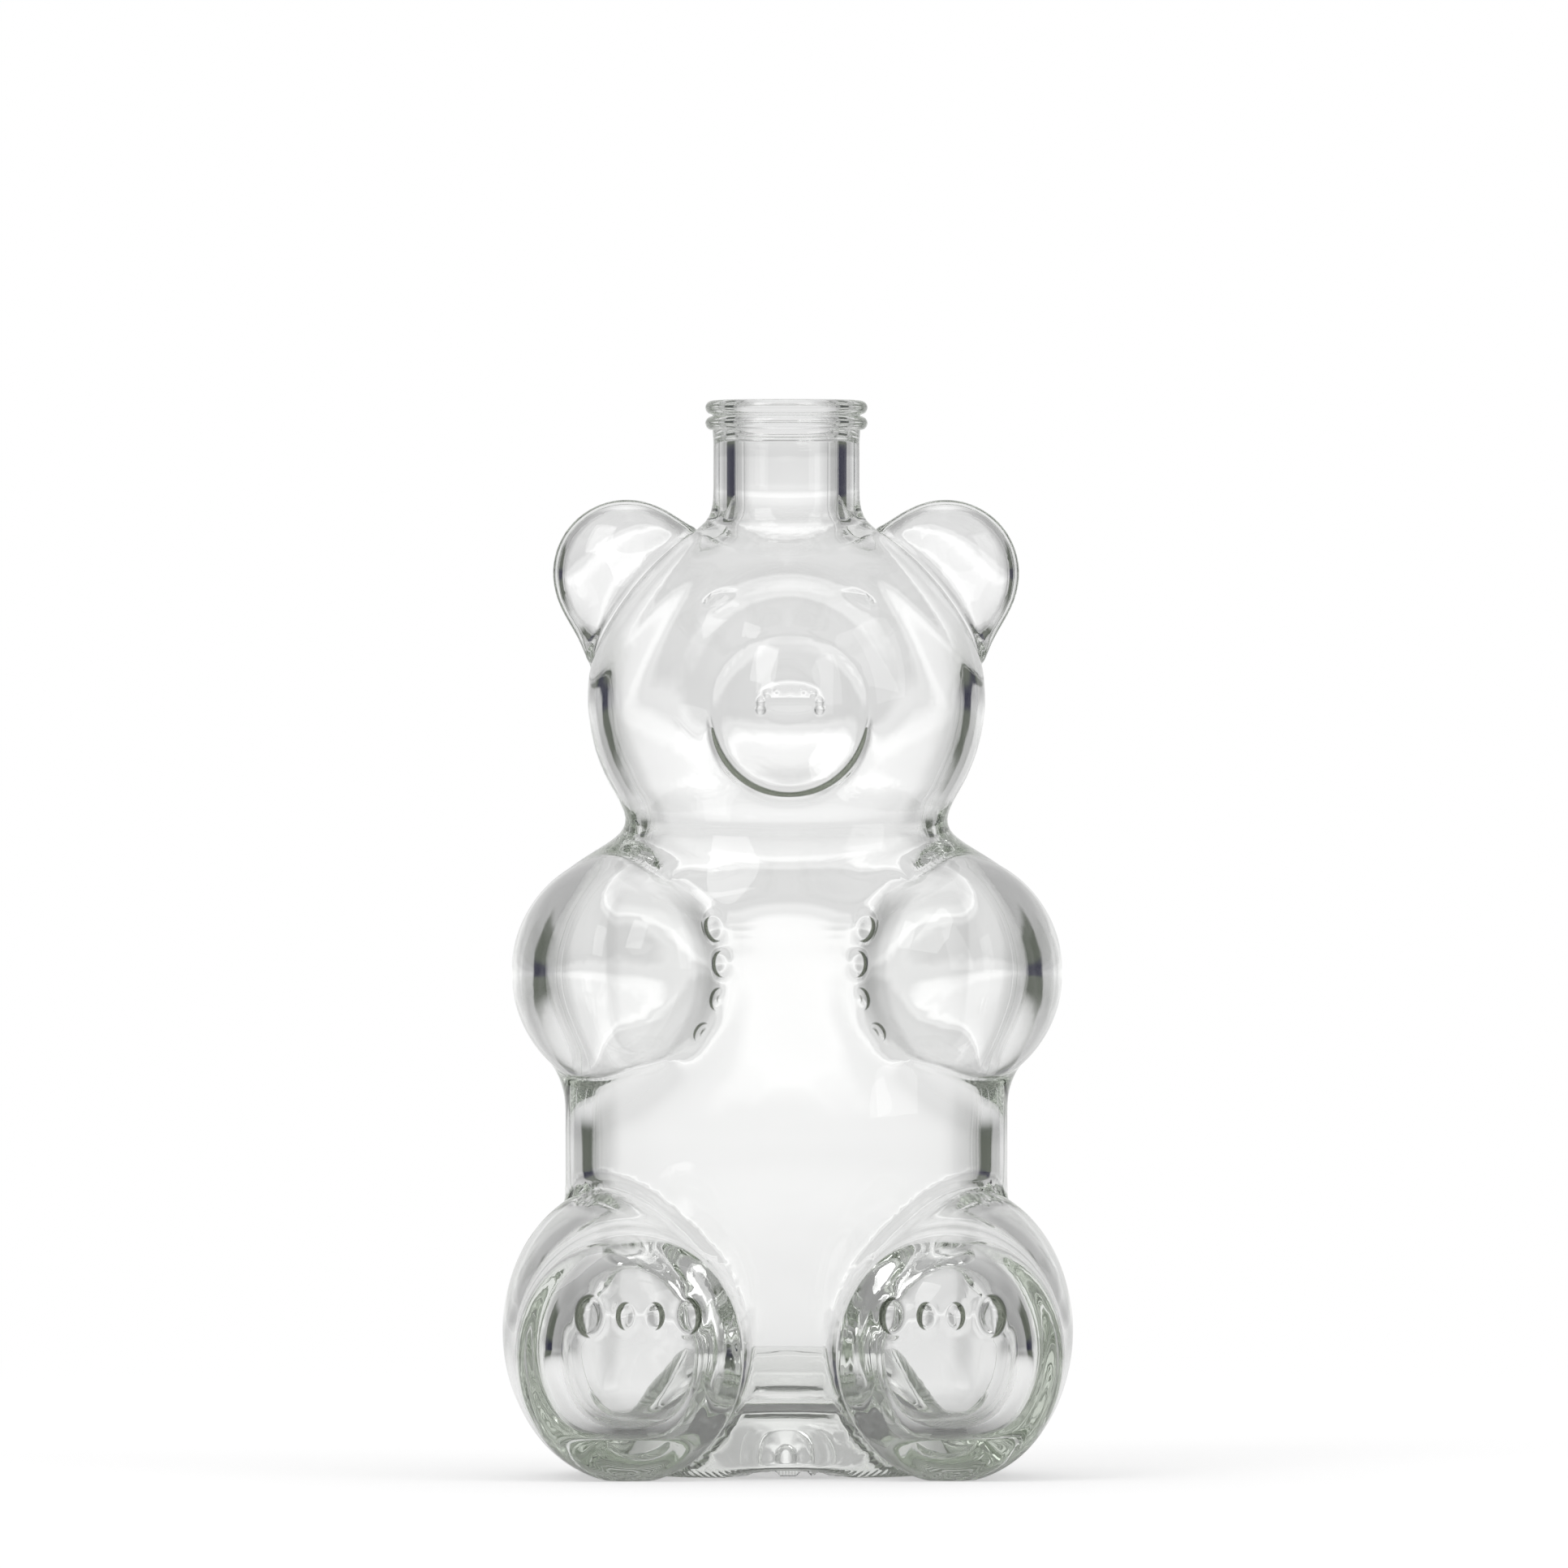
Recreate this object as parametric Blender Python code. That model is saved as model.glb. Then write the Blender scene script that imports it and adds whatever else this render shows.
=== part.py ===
"""Bear-shaped clear glass bottle with an open cork mouth, one moulded piece.

The form is a smooth union of rounded lobes (head, muzzle, ears, torso, arms,
paws, feet). The hollow is a plainer union of the same lobes, each smaller by its
own wall. Both are skinned by a voxel remesh of the plain lobes, whose points are
then settled on the smooth form. The mouth is a turned profile bridged to both
skins at the neck. Metres, +Z up, the bear looks along -Y.
"""

import math
from dataclasses import dataclass

import bmesh
import bpy
import numpy as np
from mathutils import Matrix

# Head
HEAD_HALF_WIDTH = 0.0294
HEAD_HALF_HEIGHT = 0.0278
HEAD_DEPTH_SHARE = 0.985
HEAD_RISE_SHARE = 0.737
HEAD_WALL = 0.003

# Ears, lens-like discs that widen into the head
EAR_RADIUS = 0.0109
EAR_HALF_DEPTH = 0.0065
EAR_ROOT_RADIUS = 0.0145
EAR_ROOT_HALF_DEPTH = 0.0115
EAR_WALL = 0.0012
EAR_OUT_SHARE = 0.803
EAR_UP_SHARE = 0.665
EAR_ROOT_OUT_SHARE = 0.527
EAR_ROOT_UP_SHARE = 0.36
EAR_BACK_SHARE = 0.11
EAR_ROOT_BLEND = 0.006
EAR_BLEND = 0.0008

# Muzzle, the bridge above it, the nose and the eyes
MUZZLE_HALF_WIDTH = 0.013
MUZZLE_HALF_DEPTH = 0.0133
MUZZLE_HALF_HEIGHT = 0.013
MUZZLE_FORWARD_SHARE = 0.67
MUZZLE_DROP_SHARE = 0.0815
MUZZLE_WALL = 0.0025
MUZZLE_BLEND = 0.001
BRIDGE_HALF_WIDTH = 0.0135
BRIDGE_HALF_DEPTH = 0.014
BRIDGE_HALF_HEIGHT = 0.0125
BRIDGE_FORWARD_SHARE = 0.547
BRIDGE_RISE_SHARE = 0.108
BRIDGE_BLEND = 0.008
NOSE_HALF_WIDTH = 0.0042
NOSE_HALF_DEPTH = 0.0028
NOSE_HALF_HEIGHT = 0.0025
NOSE_UP_SHARE = 0.14
NOSE_SINK_SHARE = 0.3
EYE_HALF_WIDTH = 0.002
EYE_HALF_DEPTH = 0.0012
EYE_HALF_HEIGHT = 0.0018
EYE_OUT_SHARE = 0.347
EYE_UP_SHARE = 0.518
FACE_DETAIL_BLEND = 0.0016

# Torso, collar and belly
TORSO_HALF_WIDTH = 0.0326
TORSO_HALF_DEPTH = 0.0265
TORSO_HEIGHT = 0.094
TORSO_EDGE_RADIUS = 0.011
HEEL_RADIUS = 0.008
TORSO_WALL = 0.0042
COLLAR_WIDTH_SHARE = 0.71
COLLAR_DEPTH_SHARE = 0.81
COLLAR_HALF_HEIGHT = 0.012
COLLAR_EDGE_RADIUS = 0.004
COLLAR_BLEND = 0.004
BELLY_WIDTH_SHARE = 0.828
BELLY_DEPTH_SHARE = 0.868
BELLY_HALF_HEIGHT = 0.034
BELLY_FORWARD_SHARE = 0.226
BELLY_UP_SHARE = 0.53
BELLY_BLEND = 0.01
HEAD_BLEND = 0.0035

# Arms, paws and fingers
ARM_HALF_WIDTH = 0.0175
ARM_HALF_DEPTH = 0.024
ARM_HALF_HEIGHT = 0.0179
ARM_OUT_SHARE = 0.712
ARM_UP_SHARE = 0.787
ARM_FORWARD_SHARE = 0.19
ARM_WALL = 0.0045
ARM_BLEND = 0.0015
PAW_HALF_WIDTH = 0.0093
PAW_HALF_DEPTH = 0.01
PAW_HALF_HEIGHT = 0.0125
PAW_OUT_SHARE = 0.598
PAW_UP_SHARE = 0.79
PAW_FORWARD_SHARE = 0.84
PAW_BLEND = 0.006
FINGER_HALF_WIDTH = 0.0015
FINGER_HALF_DEPTH = 0.0017
FINGER_HALF_HEIGHT = 0.0018
FINGER_PLACE_SHARES = ((-0.9, 0.5), (-1.0, 0.09), (-0.93, -0.31), (-0.69, -0.68))
FINGER_BLEND = 0.0011

# Feet and toes
FOOT_HALF_WIDTH = 0.0178
FOOT_HALF_DEPTH = 0.0215
FOOT_HALF_HEIGHT = 0.0218
FOOT_OUT_SHARE = 0.742
FOOT_FORWARD_SHARE = 0.453
FOOT_WALL = 0.0048
FOOT_BLEND = 0.0015
SOLE_WIDTH_SHARE = 0.944
SOLE_HALF_HEIGHT = 0.0187
SOLE_HALF_LENGTH = 0.0115
SOLE_INWARD_SHARE = 0.04
SOLE_FORWARD_SHARE = 1.07
SOLE_EDGE_RADIUS = 0.0062
SOLE_BLEND = 0.0035
TOE_HALF_WIDTH = 0.0019
TOE_HALF_DEPTH = 0.0014
TOE_HALF_HEIGHT = 0.0028
TOE_PLACES_OUT_SHARES = (-0.53, -0.25, -0.005, 0.29)
TOE_UP_SHARE = 0.13
TOE_BLEND = 0.001

# Base
BEARING_SINK = 0.0004
FLOOR_EDGE_BLEND = 0.005
PUNT_HALF_WIDTH = 0.0155
PUNT_HALF_DEPTH = 0.0135
PUNT_HEIGHT = 0.0088
PUNT_EDGE_RADIUS = 0.006
PUNT_BLEND = 0.0025
FLOOR_WALL = 0.0055
PUNT_WALL = 0.0075
ARCH_HALF_WIDTH = 0.01
ARCH_HALF_DEPTH = 0.016
ARCH_RISE = 0.0012
ARCH_BLEND = 0.0012

# Neck and mouth
NECK_RADIUS = 0.0108
NECK_STAND = 0.0162
NECK_ROOT_SHARE = 0.7
NECK_BLEND = 0.0055
BORE_RADIUS = 0.00775
BEAD_REACH = 0.0012
BEAD_HEIGHT = 0.0021
BEAD_GAP = 0.0002
LIP_INNER_ROUND = 0.0006
NECK_CUT_BELOW_LIP = 0.0085

# Hollow
HOLLOW_BLEND = 0.01
HEAD_HOLLOW_BLEND = 0.0045
HOLLOW_SETTLE_BLEND = 0.001
LEAST_WALL = 0.0012

# Facets
VOXEL_SIZE = 0.00137
DETAIL_REACH = 0.0012
FIELD_STEP = 0.00002
SHORTEST_EDGE = 0.0005
SETTLE_ROUNDS = 3
LEAST_STEEPNESS = 0.25
LEAST_REACH = 1e-9
RELAX_ROUNDS = 3
SPHERE_SEGMENTS = 32
OUTER_FACES = 7500
HOLLOW_FACES = 2400
MOUTH_SEGMENTS = 36
BEAD_ARC_STEPS = 5

GLASS_COLOUR = (0.93, 0.96, 0.94, 1.0)
GLASS_ROUGHNESS = 0.02
GLASS_IOR = 1.5


def elliptic_distance(away, half):
    """Distance to an ellipse or ellipsoid round the origin, close to exact near its surface."""
    scaled = away / half
    reach = np.maximum(np.linalg.norm(scaled, axis=-1), LEAST_REACH)
    slope = np.maximum(np.linalg.norm(scaled / half, axis=-1), LEAST_REACH / max(half))
    return reach * (reach - 1.0) / slope


@dataclass(frozen=True)
class Lobe:
    """An ellipsoid: its middle and its half sizes along X, Y and Z."""

    at: tuple
    half: tuple

    def field(self, points):
        """Distance from each point to the lobe, negative inside."""
        return elliptic_distance(points - self.at, self.half)

    def front(self, x, z):
        """The Y of the lobe's front surface at this X and Z."""
        across = (x - self.at[0]) / self.half[0]
        upright = (z - self.at[2]) / self.half[2]
        rest = max(1.0 - across**2 - upright**2, 0.0)
        return self.at[1] - self.half[1] * math.sqrt(rest)

    def thinned(self, wall):
        """The same lobe, smaller by the wall all round."""
        return Lobe(self.at, tuple(size - wall for size in self.half))


def sphere(bm, lobe):
    """Adds the lobe as a ball to the bmesh."""
    place = Matrix.Translation(lobe.at) @ Matrix.Diagonal((*lobe.half, 1.0))
    bmesh.ops.create_uvsphere(
        bm, u_segments=SPHERE_SEGMENTS, v_segments=SPHERE_SEGMENTS // 2, radius=1.0, matrix=place
    )


@dataclass(frozen=True)
class Drum:
    """An elliptical drum with rounded rims, its far and its near one: upright, or facing along Y."""

    at: tuple
    half_width: float
    half_breadth: float
    half_length: float
    far_edge: float
    near_edge: float
    faces_forward: bool = False

    def field(self, points):
        """Distance from each point to the drum, negative inside."""
        away = points - self.at
        if self.faces_forward:
            away = away[..., [0, 2, 1]]
        edge = np.where(away[..., 2] > 0.0, self.far_edge, self.near_edge)
        side = elliptic_distance(away[..., :2], (self.half_width, self.half_breadth)) + edge
        end = np.abs(away[..., 2]) - self.half_length + edge
        outside = np.hypot(np.maximum(side, 0.0), np.maximum(end, 0.0))
        return np.minimum(np.maximum(side, end), 0.0) + outside - edge

    def front(self, x, _height):
        """The Y of an upright drum's front surface at this X, the same at each height."""
        across = (x - self.at[0]) / self.half_width
        return self.at[1] - self.half_breadth * math.sqrt(max(1.0 - across**2, 0.0))

    def thinned(self, wall):
        """The same drum, smaller by the wall all round."""
        return Drum(
            self.at,
            self.half_width - wall,
            self.half_breadth - wall,
            self.half_length - wall,
            min(self.far_edge, self.half_length - wall),
            min(self.near_edge, self.half_length - wall),
            self.faces_forward,
        )


def barrel(bm, drum):
    """Adds the drum as a plain cylinder to the bmesh."""
    turn = Matrix.Rotation(math.radians(90.0 if drum.faces_forward else 0.0), 4, "X")
    size = Matrix.Diagonal((drum.half_width, drum.half_breadth, drum.half_length * 2.0, 1.0))
    bmesh.ops.create_cone(
        bm, cap_ends=True, segments=SPHERE_SEGMENTS, radius1=1.0, radius2=1.0, depth=1.0,
        matrix=Matrix.Translation(drum.at) @ turn @ size,
    )


def joined(first, second, blend):
    """Smooth union of two fields, with a fillet about as wide as the blend."""
    near = np.maximum(blend - np.abs(first - second), 0.0) / blend
    return np.minimum(first, second) - near**3 * blend / 6.0


def common(first, second, blend):
    """Smooth intersection of two fields."""
    return -joined(-first, -second, blend)


# Places that follow from the sizes
HEAD_HEIGHT = TORSO_HEIGHT + HEAD_HALF_HEIGHT * HEAD_RISE_SHARE
BOTTLE_HEIGHT = HEAD_HEIGHT + HEAD_HALF_HEIGHT + NECK_STAND
CUT_HEIGHT = BOTTLE_HEIGHT - NECK_CUT_BELOW_LIP
PAW_HEIGHT = TORSO_HEIGHT * PAW_UP_SHARE
SOLE_FRONT = -FOOT_HALF_DEPTH * SOLE_FORWARD_SHARE - TORSO_HALF_DEPTH * FOOT_FORWARD_SHARE
HEAD_HALF_DEPTH = TORSO_HALF_DEPTH * HEAD_DEPTH_SHARE

HEAD = Lobe((0.0, 0.0, HEAD_HEIGHT), (HEAD_HALF_WIDTH, HEAD_HALF_DEPTH, HEAD_HALF_HEIGHT))
MUZZLE = Lobe(
    (0.0, -HEAD_HALF_DEPTH * MUZZLE_FORWARD_SHARE, HEAD_HEIGHT - HEAD_HALF_HEIGHT * MUZZLE_DROP_SHARE),
    (MUZZLE_HALF_WIDTH, MUZZLE_HALF_DEPTH, MUZZLE_HALF_HEIGHT),
)
BRIDGE = Lobe(
    (0.0, -HEAD_HALF_DEPTH * BRIDGE_FORWARD_SHARE, HEAD_HEIGHT + HEAD_HALF_HEIGHT * BRIDGE_RISE_SHARE),
    (BRIDGE_HALF_WIDTH, BRIDGE_HALF_DEPTH, BRIDGE_HALF_HEIGHT),
)
TORSO = Drum(
    (0.0, 0.0, (TORSO_HEIGHT - BEARING_SINK) / 2.0),
    TORSO_HALF_WIDTH, TORSO_HALF_DEPTH, (TORSO_HEIGHT + BEARING_SINK) / 2.0,
    TORSO_EDGE_RADIUS, HEEL_RADIUS,
)
COLLAR = Drum(
    (0.0, 0.0, TORSO_HEIGHT - COLLAR_EDGE_RADIUS),
    TORSO_HALF_WIDTH * COLLAR_WIDTH_SHARE, TORSO_HALF_DEPTH * COLLAR_DEPTH_SHARE, COLLAR_HALF_HEIGHT,
    COLLAR_EDGE_RADIUS, COLLAR_EDGE_RADIUS,
)
BELLY = Lobe(
    (0.0, -TORSO_HALF_DEPTH * BELLY_FORWARD_SHARE, TORSO_HEIGHT * BELLY_UP_SHARE),
    (TORSO_HALF_WIDTH * BELLY_WIDTH_SHARE, TORSO_HALF_DEPTH * BELLY_DEPTH_SHARE, BELLY_HALF_HEIGHT),
)
NECK_ROOT = HEAD_HEIGHT + HEAD_HALF_HEIGHT * NECK_ROOT_SHARE
NECK = Drum(
    (0.0, 0.0, (NECK_ROOT + BOTTLE_HEIGHT) / 2.0),
    NECK_RADIUS, NECK_RADIUS, (BOTTLE_HEIGHT - NECK_ROOT) / 2.0, 0.0, 0.0,
)
BORE = Drum(NECK.at, BORE_RADIUS, BORE_RADIUS, NECK.half_length, 0.0, 0.0)
PUNT = Drum(
    (0.0, 0.0, 0.0), PUNT_HALF_WIDTH, PUNT_HALF_DEPTH, PUNT_HEIGHT, PUNT_EDGE_RADIUS, 0.0
)
ARCH = Lobe((0.0, -TORSO_HALF_DEPTH, 0.0), (ARCH_HALF_WIDTH, ARCH_HALF_DEPTH, ARCH_RISE))


def ear(side):
    """The lens-like disc of one ear and the wider root that joins it to the head."""
    back = HEAD_HALF_DEPTH * EAR_BACK_SHARE
    tip = (side * HEAD_HALF_WIDTH * EAR_OUT_SHARE, back, HEAD_HEIGHT + HEAD_HALF_HEIGHT * EAR_UP_SHARE)
    root = (
        side * HEAD_HALF_WIDTH * EAR_ROOT_OUT_SHARE, back,
        HEAD_HEIGHT + HEAD_HALF_HEIGHT * EAR_ROOT_UP_SHARE,
    )
    return (
        Lobe(tip, (EAR_RADIUS, EAR_HALF_DEPTH, EAR_RADIUS)),
        Lobe(root, (EAR_ROOT_RADIUS, EAR_ROOT_HALF_DEPTH, EAR_ROOT_RADIUS)),
    )


def arm(side):
    """The upper arm's lobe and the paw's lobe on the chest."""
    upper = (
        side * TORSO_HALF_WIDTH * ARM_OUT_SHARE,
        -TORSO_HALF_DEPTH * ARM_FORWARD_SHARE,
        TORSO_HEIGHT * ARM_UP_SHARE,
    )
    paw = (side * TORSO_HALF_WIDTH * PAW_OUT_SHARE, -TORSO_HALF_DEPTH * PAW_FORWARD_SHARE, PAW_HEIGHT)
    return (
        Lobe(upper, (ARM_HALF_WIDTH, ARM_HALF_DEPTH, ARM_HALF_HEIGHT)),
        Lobe(paw, (PAW_HALF_WIDTH, PAW_HALF_DEPTH, PAW_HALF_HEIGHT)),
    )


def foot(side):
    """The rounded haunch of one foot."""
    middle = (
        side * TORSO_HALF_WIDTH * FOOT_OUT_SHARE,
        -TORSO_HALF_DEPTH * FOOT_FORWARD_SHARE,
        FOOT_HALF_HEIGHT - BEARING_SINK,
    )
    return Lobe(middle, (FOOT_HALF_WIDTH, FOOT_HALF_DEPTH, FOOT_HALF_HEIGHT))


def sole(side):
    """The flat front end of one foot, which faces forward."""
    out = foot(side).at[0] - side * FOOT_HALF_WIDTH * SOLE_INWARD_SHARE
    middle = (out, SOLE_FRONT + SOLE_HALF_LENGTH, SOLE_HALF_HEIGHT - BEARING_SINK)
    return Drum(
        middle, FOOT_HALF_WIDTH * SOLE_WIDTH_SHARE, SOLE_HALF_HEIGHT, SOLE_HALF_LENGTH,
        SOLE_EDGE_RADIUS, SOLE_EDGE_RADIUS, True,
    )


def nose():
    """The small lobe on the front of the muzzle."""
    height = MUZZLE.at[2] + MUZZLE_HALF_HEIGHT * NOSE_UP_SHARE
    depth = MUZZLE.front(0.0, height) + NOSE_HALF_DEPTH * NOSE_SINK_SHARE
    return Lobe((0.0, depth, height), (NOSE_HALF_WIDTH, NOSE_HALF_DEPTH, NOSE_HALF_HEIGHT))


def eye():
    """The bump of the eye on the bear's +X side."""
    out = HEAD_HALF_WIDTH * EYE_OUT_SHARE
    height = HEAD_HEIGHT + HEAD_HALF_HEIGHT * EYE_UP_SHARE
    return Lobe((out, HEAD.front(out, height), height), (EYE_HALF_WIDTH, EYE_HALF_DEPTH, EYE_HALF_HEIGHT))


def toes():
    """The four bumps on the sole at +X, in a row."""
    lobe = foot(1.0)
    height = lobe.at[2] + FOOT_HALF_HEIGHT * TOE_UP_SHARE
    for share in TOE_PLACES_OUT_SHARES:
        out = lobe.at[0] + FOOT_HALF_WIDTH * share
        yield Lobe((out, SOLE_FRONT, height), (TOE_HALF_WIDTH, TOE_HALF_DEPTH, TOE_HALF_HEIGHT))


def fingers():
    """The four small bumps that end the paw at +X, in an arc."""
    upper, paw = arm(1.0)
    for out_share, up_share in FINGER_PLACE_SHARES:
        out = paw.at[0] + PAW_HALF_WIDTH * out_share
        height = paw.at[2] + PAW_HALF_HEIGHT * up_share
        depth = min(lobe.front(out, height) for lobe in (upper, paw, BELLY, TORSO))
        yield Lobe((out, depth, height), (FINGER_HALF_WIDTH, FINGER_HALF_DEPTH, FINGER_HALF_HEIGHT))


def mirrored(points):
    """The points with their X made positive, because the bear's two sides are alike."""
    return np.abs(points * (1.0, 0.0, 0.0)) + points * (0.0, 1.0, 1.0)


def detail_field(points):
    """Distance to the nearest small bump: nose, eyes, fingers or toes."""
    aside = mirrored(points)
    found = np.minimum(nose().field(points), eye().field(aside))
    for bump in (*fingers(), *toes()):
        found = np.minimum(found, bump.field(aside))
    return found


def outer_field(points):
    """Distance from each point to the outside of the glass, negative within it."""
    aside = mirrored(points)
    ear_tip, ear_root = ear(1.0)
    ears = joined(ear_tip.field(aside), ear_root.field(aside), EAR_ROOT_BLEND)
    head = joined(HEAD.field(points), ears, EAR_BLEND)
    head = joined(head, MUZZLE.field(points), MUZZLE_BLEND)
    head = joined(head, BRIDGE.field(points), BRIDGE_BLEND)
    head = joined(head, nose().field(points), FACE_DETAIL_BLEND)
    head = joined(head, eye().field(aside), FACE_DETAIL_BLEND)
    head = joined(head, NECK.field(points), NECK_BLEND)

    upper, paw = arm(1.0)
    body = joined(TORSO.field(points), COLLAR.field(points), COLLAR_BLEND)
    body = joined(body, BELLY.field(points), BELLY_BLEND)
    arms = joined(upper.field(aside), paw.field(aside), PAW_BLEND)
    body = joined(body, arms, ARM_BLEND)
    for finger in fingers():
        body = joined(body, finger.field(aside), FINGER_BLEND)
    feet = joined(foot(1.0).field(aside), sole(1.0).field(aside), SOLE_BLEND)
    for toe in toes():
        feet = joined(feet, toe.field(aside), TOE_BLEND)
    body = joined(common(body, -ARCH.field(points), ARCH_BLEND), feet, FOOT_BLEND)

    bear = joined(head, body, HEAD_BLEND)
    bear = common(bear, -PUNT.field(points), PUNT_BLEND)
    return np.maximum(bear, -points[..., 2])


def hollow_field(points):
    """Distance from each point to the hollow, negative inside it."""
    aside = mirrored(points)
    ear_tip, ear_root = ear(1.0)
    ears = joined(
        ear_tip.thinned(EAR_WALL).field(aside),
        ear_root.thinned(EAR_WALL).field(aside),
        HEAD_HOLLOW_BLEND,
    )
    head = joined(HEAD.thinned(HEAD_WALL).field(points), ears, HEAD_HOLLOW_BLEND)
    head = joined(head, MUZZLE.thinned(MUZZLE_WALL).field(points), HEAD_HOLLOW_BLEND)
    head = joined(head, BRIDGE.thinned(MUZZLE_WALL).field(points), HEAD_HOLLOW_BLEND)
    head = joined(head, BORE.field(points), NECK_BLEND)
    upper, _ = arm(1.0)
    body = joined(
        TORSO.thinned(TORSO_WALL).field(points), COLLAR.thinned(TORSO_WALL).field(points), HOLLOW_BLEND
    )
    body = joined(body, BELLY.thinned(TORSO_WALL).field(points), HOLLOW_BLEND)
    body = joined(body, upper.thinned(ARM_WALL).field(aside), HOLLOW_BLEND)
    body = joined(body, foot(1.0).thinned(FOOT_WALL).field(aside), HOLLOW_BLEND)
    body = joined(body, sole(1.0).thinned(FOOT_WALL).field(aside), HOLLOW_BLEND)
    hollow = joined(head, body, HOLLOW_BLEND)
    hollow = common(hollow, FLOOR_WALL - points[..., 2], FLOOR_EDGE_BLEND)
    hollow = common(hollow, PUNT_WALL - PUNT.field(points), FLOOR_EDGE_BLEND)
    return common(hollow, outer_field(points) + LEAST_WALL, HOLLOW_SETTLE_BLEND)


def settle(bm, field):
    """Moves each point of the bmesh along the field's slope until it lies on the form."""
    places = np.array([point.co for point in bm.verts])
    for _ in range(SETTLE_ROUNDS):
        value = field(places)
        slope = np.empty_like(places)
        for axis in range(3):
            step = np.zeros(3)
            step[axis] = FIELD_STEP
            slope[:, axis] = (field(places + step) - value) / FIELD_STEP
        steepness = np.maximum((slope**2).sum(axis=-1), LEAST_STEEPNESS)
        places -= slope * (value / steepness)[:, None]
    for point, place in zip(bm.verts, places):
        point.co = place


def evaluated_bmesh(source, modifiers):
    """A bmesh of the bmesh given, with each modifier (its type and its settings) applied in turn."""
    mesh = bpy.data.meshes.new("form")
    source.to_mesh(mesh)
    source.free()
    carrier = bpy.data.objects.new("form", mesh)
    bpy.context.scene.collection.objects.link(carrier)
    for kind, settings in modifiers:
        modifier = carrier.modifiers.new(kind.title(), kind)
        for setting, value in settings.items():
            setattr(modifier, setting, value)
    graph = bpy.context.evaluated_depsgraph_get()
    result = bmesh.new()
    result.from_mesh(carrier.evaluated_get(graph).data)
    bpy.data.objects.remove(carrier)
    bpy.data.meshes.remove(mesh)
    return result


def refine_details(bm):
    """Halves the edges that lie near a small bump."""
    middles = np.array([(edge.verts[0].co + edge.verts[1].co) / 2.0 for edge in bm.edges])
    near = detail_field(middles) < DETAIL_REACH
    chosen = [edge for edge, is_near in zip(bm.edges, near) if is_near]
    bmesh.ops.subdivide_edges(bm, edges=chosen, cuts=1, use_grid_fill=True)


def skin(lobes, drums, field, face_count, detailed):
    """A closed skin over the lobes: joined by a remesh, settled on the form, then thinned out."""
    plain = bmesh.new()
    for lobe in lobes:
        sphere(plain, lobe)
    for drum in drums:
        barrel(plain, drum)
    skinned = evaluated_bmesh(plain, [("REMESH", {"mode": "VOXEL", "voxel_size": VOXEL_SIZE})])
    for _ in range(RELAX_ROUNDS):
        settle(skinned, field)
        bmesh.ops.smooth_vert(
            skinned, verts=skinned.verts, factor=0.5, use_axis_x=True, use_axis_y=True, use_axis_z=True
        )
    if detailed:
        settle(skinned, field)
        refine_details(skinned)
    settle(skinned, field)
    bmesh.ops.triangulate(skinned, faces=skinned.faces)
    ratio = face_count / len(skinned.faces)
    thinned = evaluated_bmesh(skinned, [("DECIMATE", {"ratio": ratio, "use_symmetry": True})])
    settle(thinned, field)
    return thinned


def cut_at_neck(bm):
    """Opens the skin at the cut height and drops the shortest edges round the opening."""
    everything = bm.verts[:] + bm.edges[:] + bm.faces[:]
    bmesh.ops.bisect_plane(
        bm, geom=everything, plane_co=(0.0, 0.0, CUT_HEIGHT), plane_no=(0.0, 0.0, 1.0), clear_outer=True
    )
    rim = [point for edge in bm.edges if edge.is_boundary for point in edge.verts]
    bmesh.ops.remove_doubles(bm, verts=list(set(rim)), dist=SHORTEST_EDGE)


def mouth_outline():
    """The mouth's profile (radius, height), from the outside of the neck over the lip into the bore."""
    lip_radius = NECK_RADIUS + BEAD_REACH
    half = BEAD_HEIGHT / 2.0
    top = BOTTLE_HEIGHT - half
    low = top - BEAD_HEIGHT - BEAD_GAP
    points = [(NECK_RADIUS, CUT_HEIGHT + BEAD_HEIGHT)]
    for middle, turn in ((low, 180.0), (top, 180.0)):
        for step in range(BEAD_ARC_STEPS + 1):
            angle = math.radians(-90.0 + turn * step / BEAD_ARC_STEPS)
            points.append(
                (lip_radius - half + half * math.cos(angle), middle + half * math.sin(angle))
            )
    inner = BORE_RADIUS + LIP_INNER_ROUND
    for step in range(BEAD_ARC_STEPS + 1):
        angle = math.radians(90.0 * step / BEAD_ARC_STEPS)
        points.append(
            (inner - LIP_INNER_ROUND * math.sin(angle),
             BOTTLE_HEIGHT - LIP_INNER_ROUND + LIP_INNER_ROUND * math.cos(angle))
        )
    points.append((BORE_RADIUS, CUT_HEIGHT + BEAD_HEIGHT))
    return points


def turned_mouth(bm):
    """Spins the mouth's profile round the axis, open at its two lower ends."""
    points = [bm.verts.new((radius, 0.0, height)) for radius, height in mouth_outline()]
    edges = [bm.edges.new(pair) for pair in zip(points, points[1:])]
    bmesh.ops.spin(
        bm, geom=points + edges, cent=(0.0, 0.0, 0.0), axis=(0.0, 0.0, 1.0),
        angle=math.tau, steps=MOUTH_SEGMENTS, use_merge=True,
    )
    bmesh.ops.remove_doubles(bm, verts=bm.verts, dist=FIELD_STEP)


def bridge(bm, inside):
    """Bridges the two open rims on one side of the wall: the skin's and the mouth's."""
    middle = (NECK_RADIUS + BORE_RADIUS) / 2.0
    rims = []
    for edge in bm.edges:
        if edge.is_boundary:
            radius = (edge.verts[0].co.xy.length + edge.verts[1].co.xy.length) / 2.0
            if (radius < middle) == inside:
                rims.append(edge)
    bmesh.ops.bridge_loops(bm, edges=rims)


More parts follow.
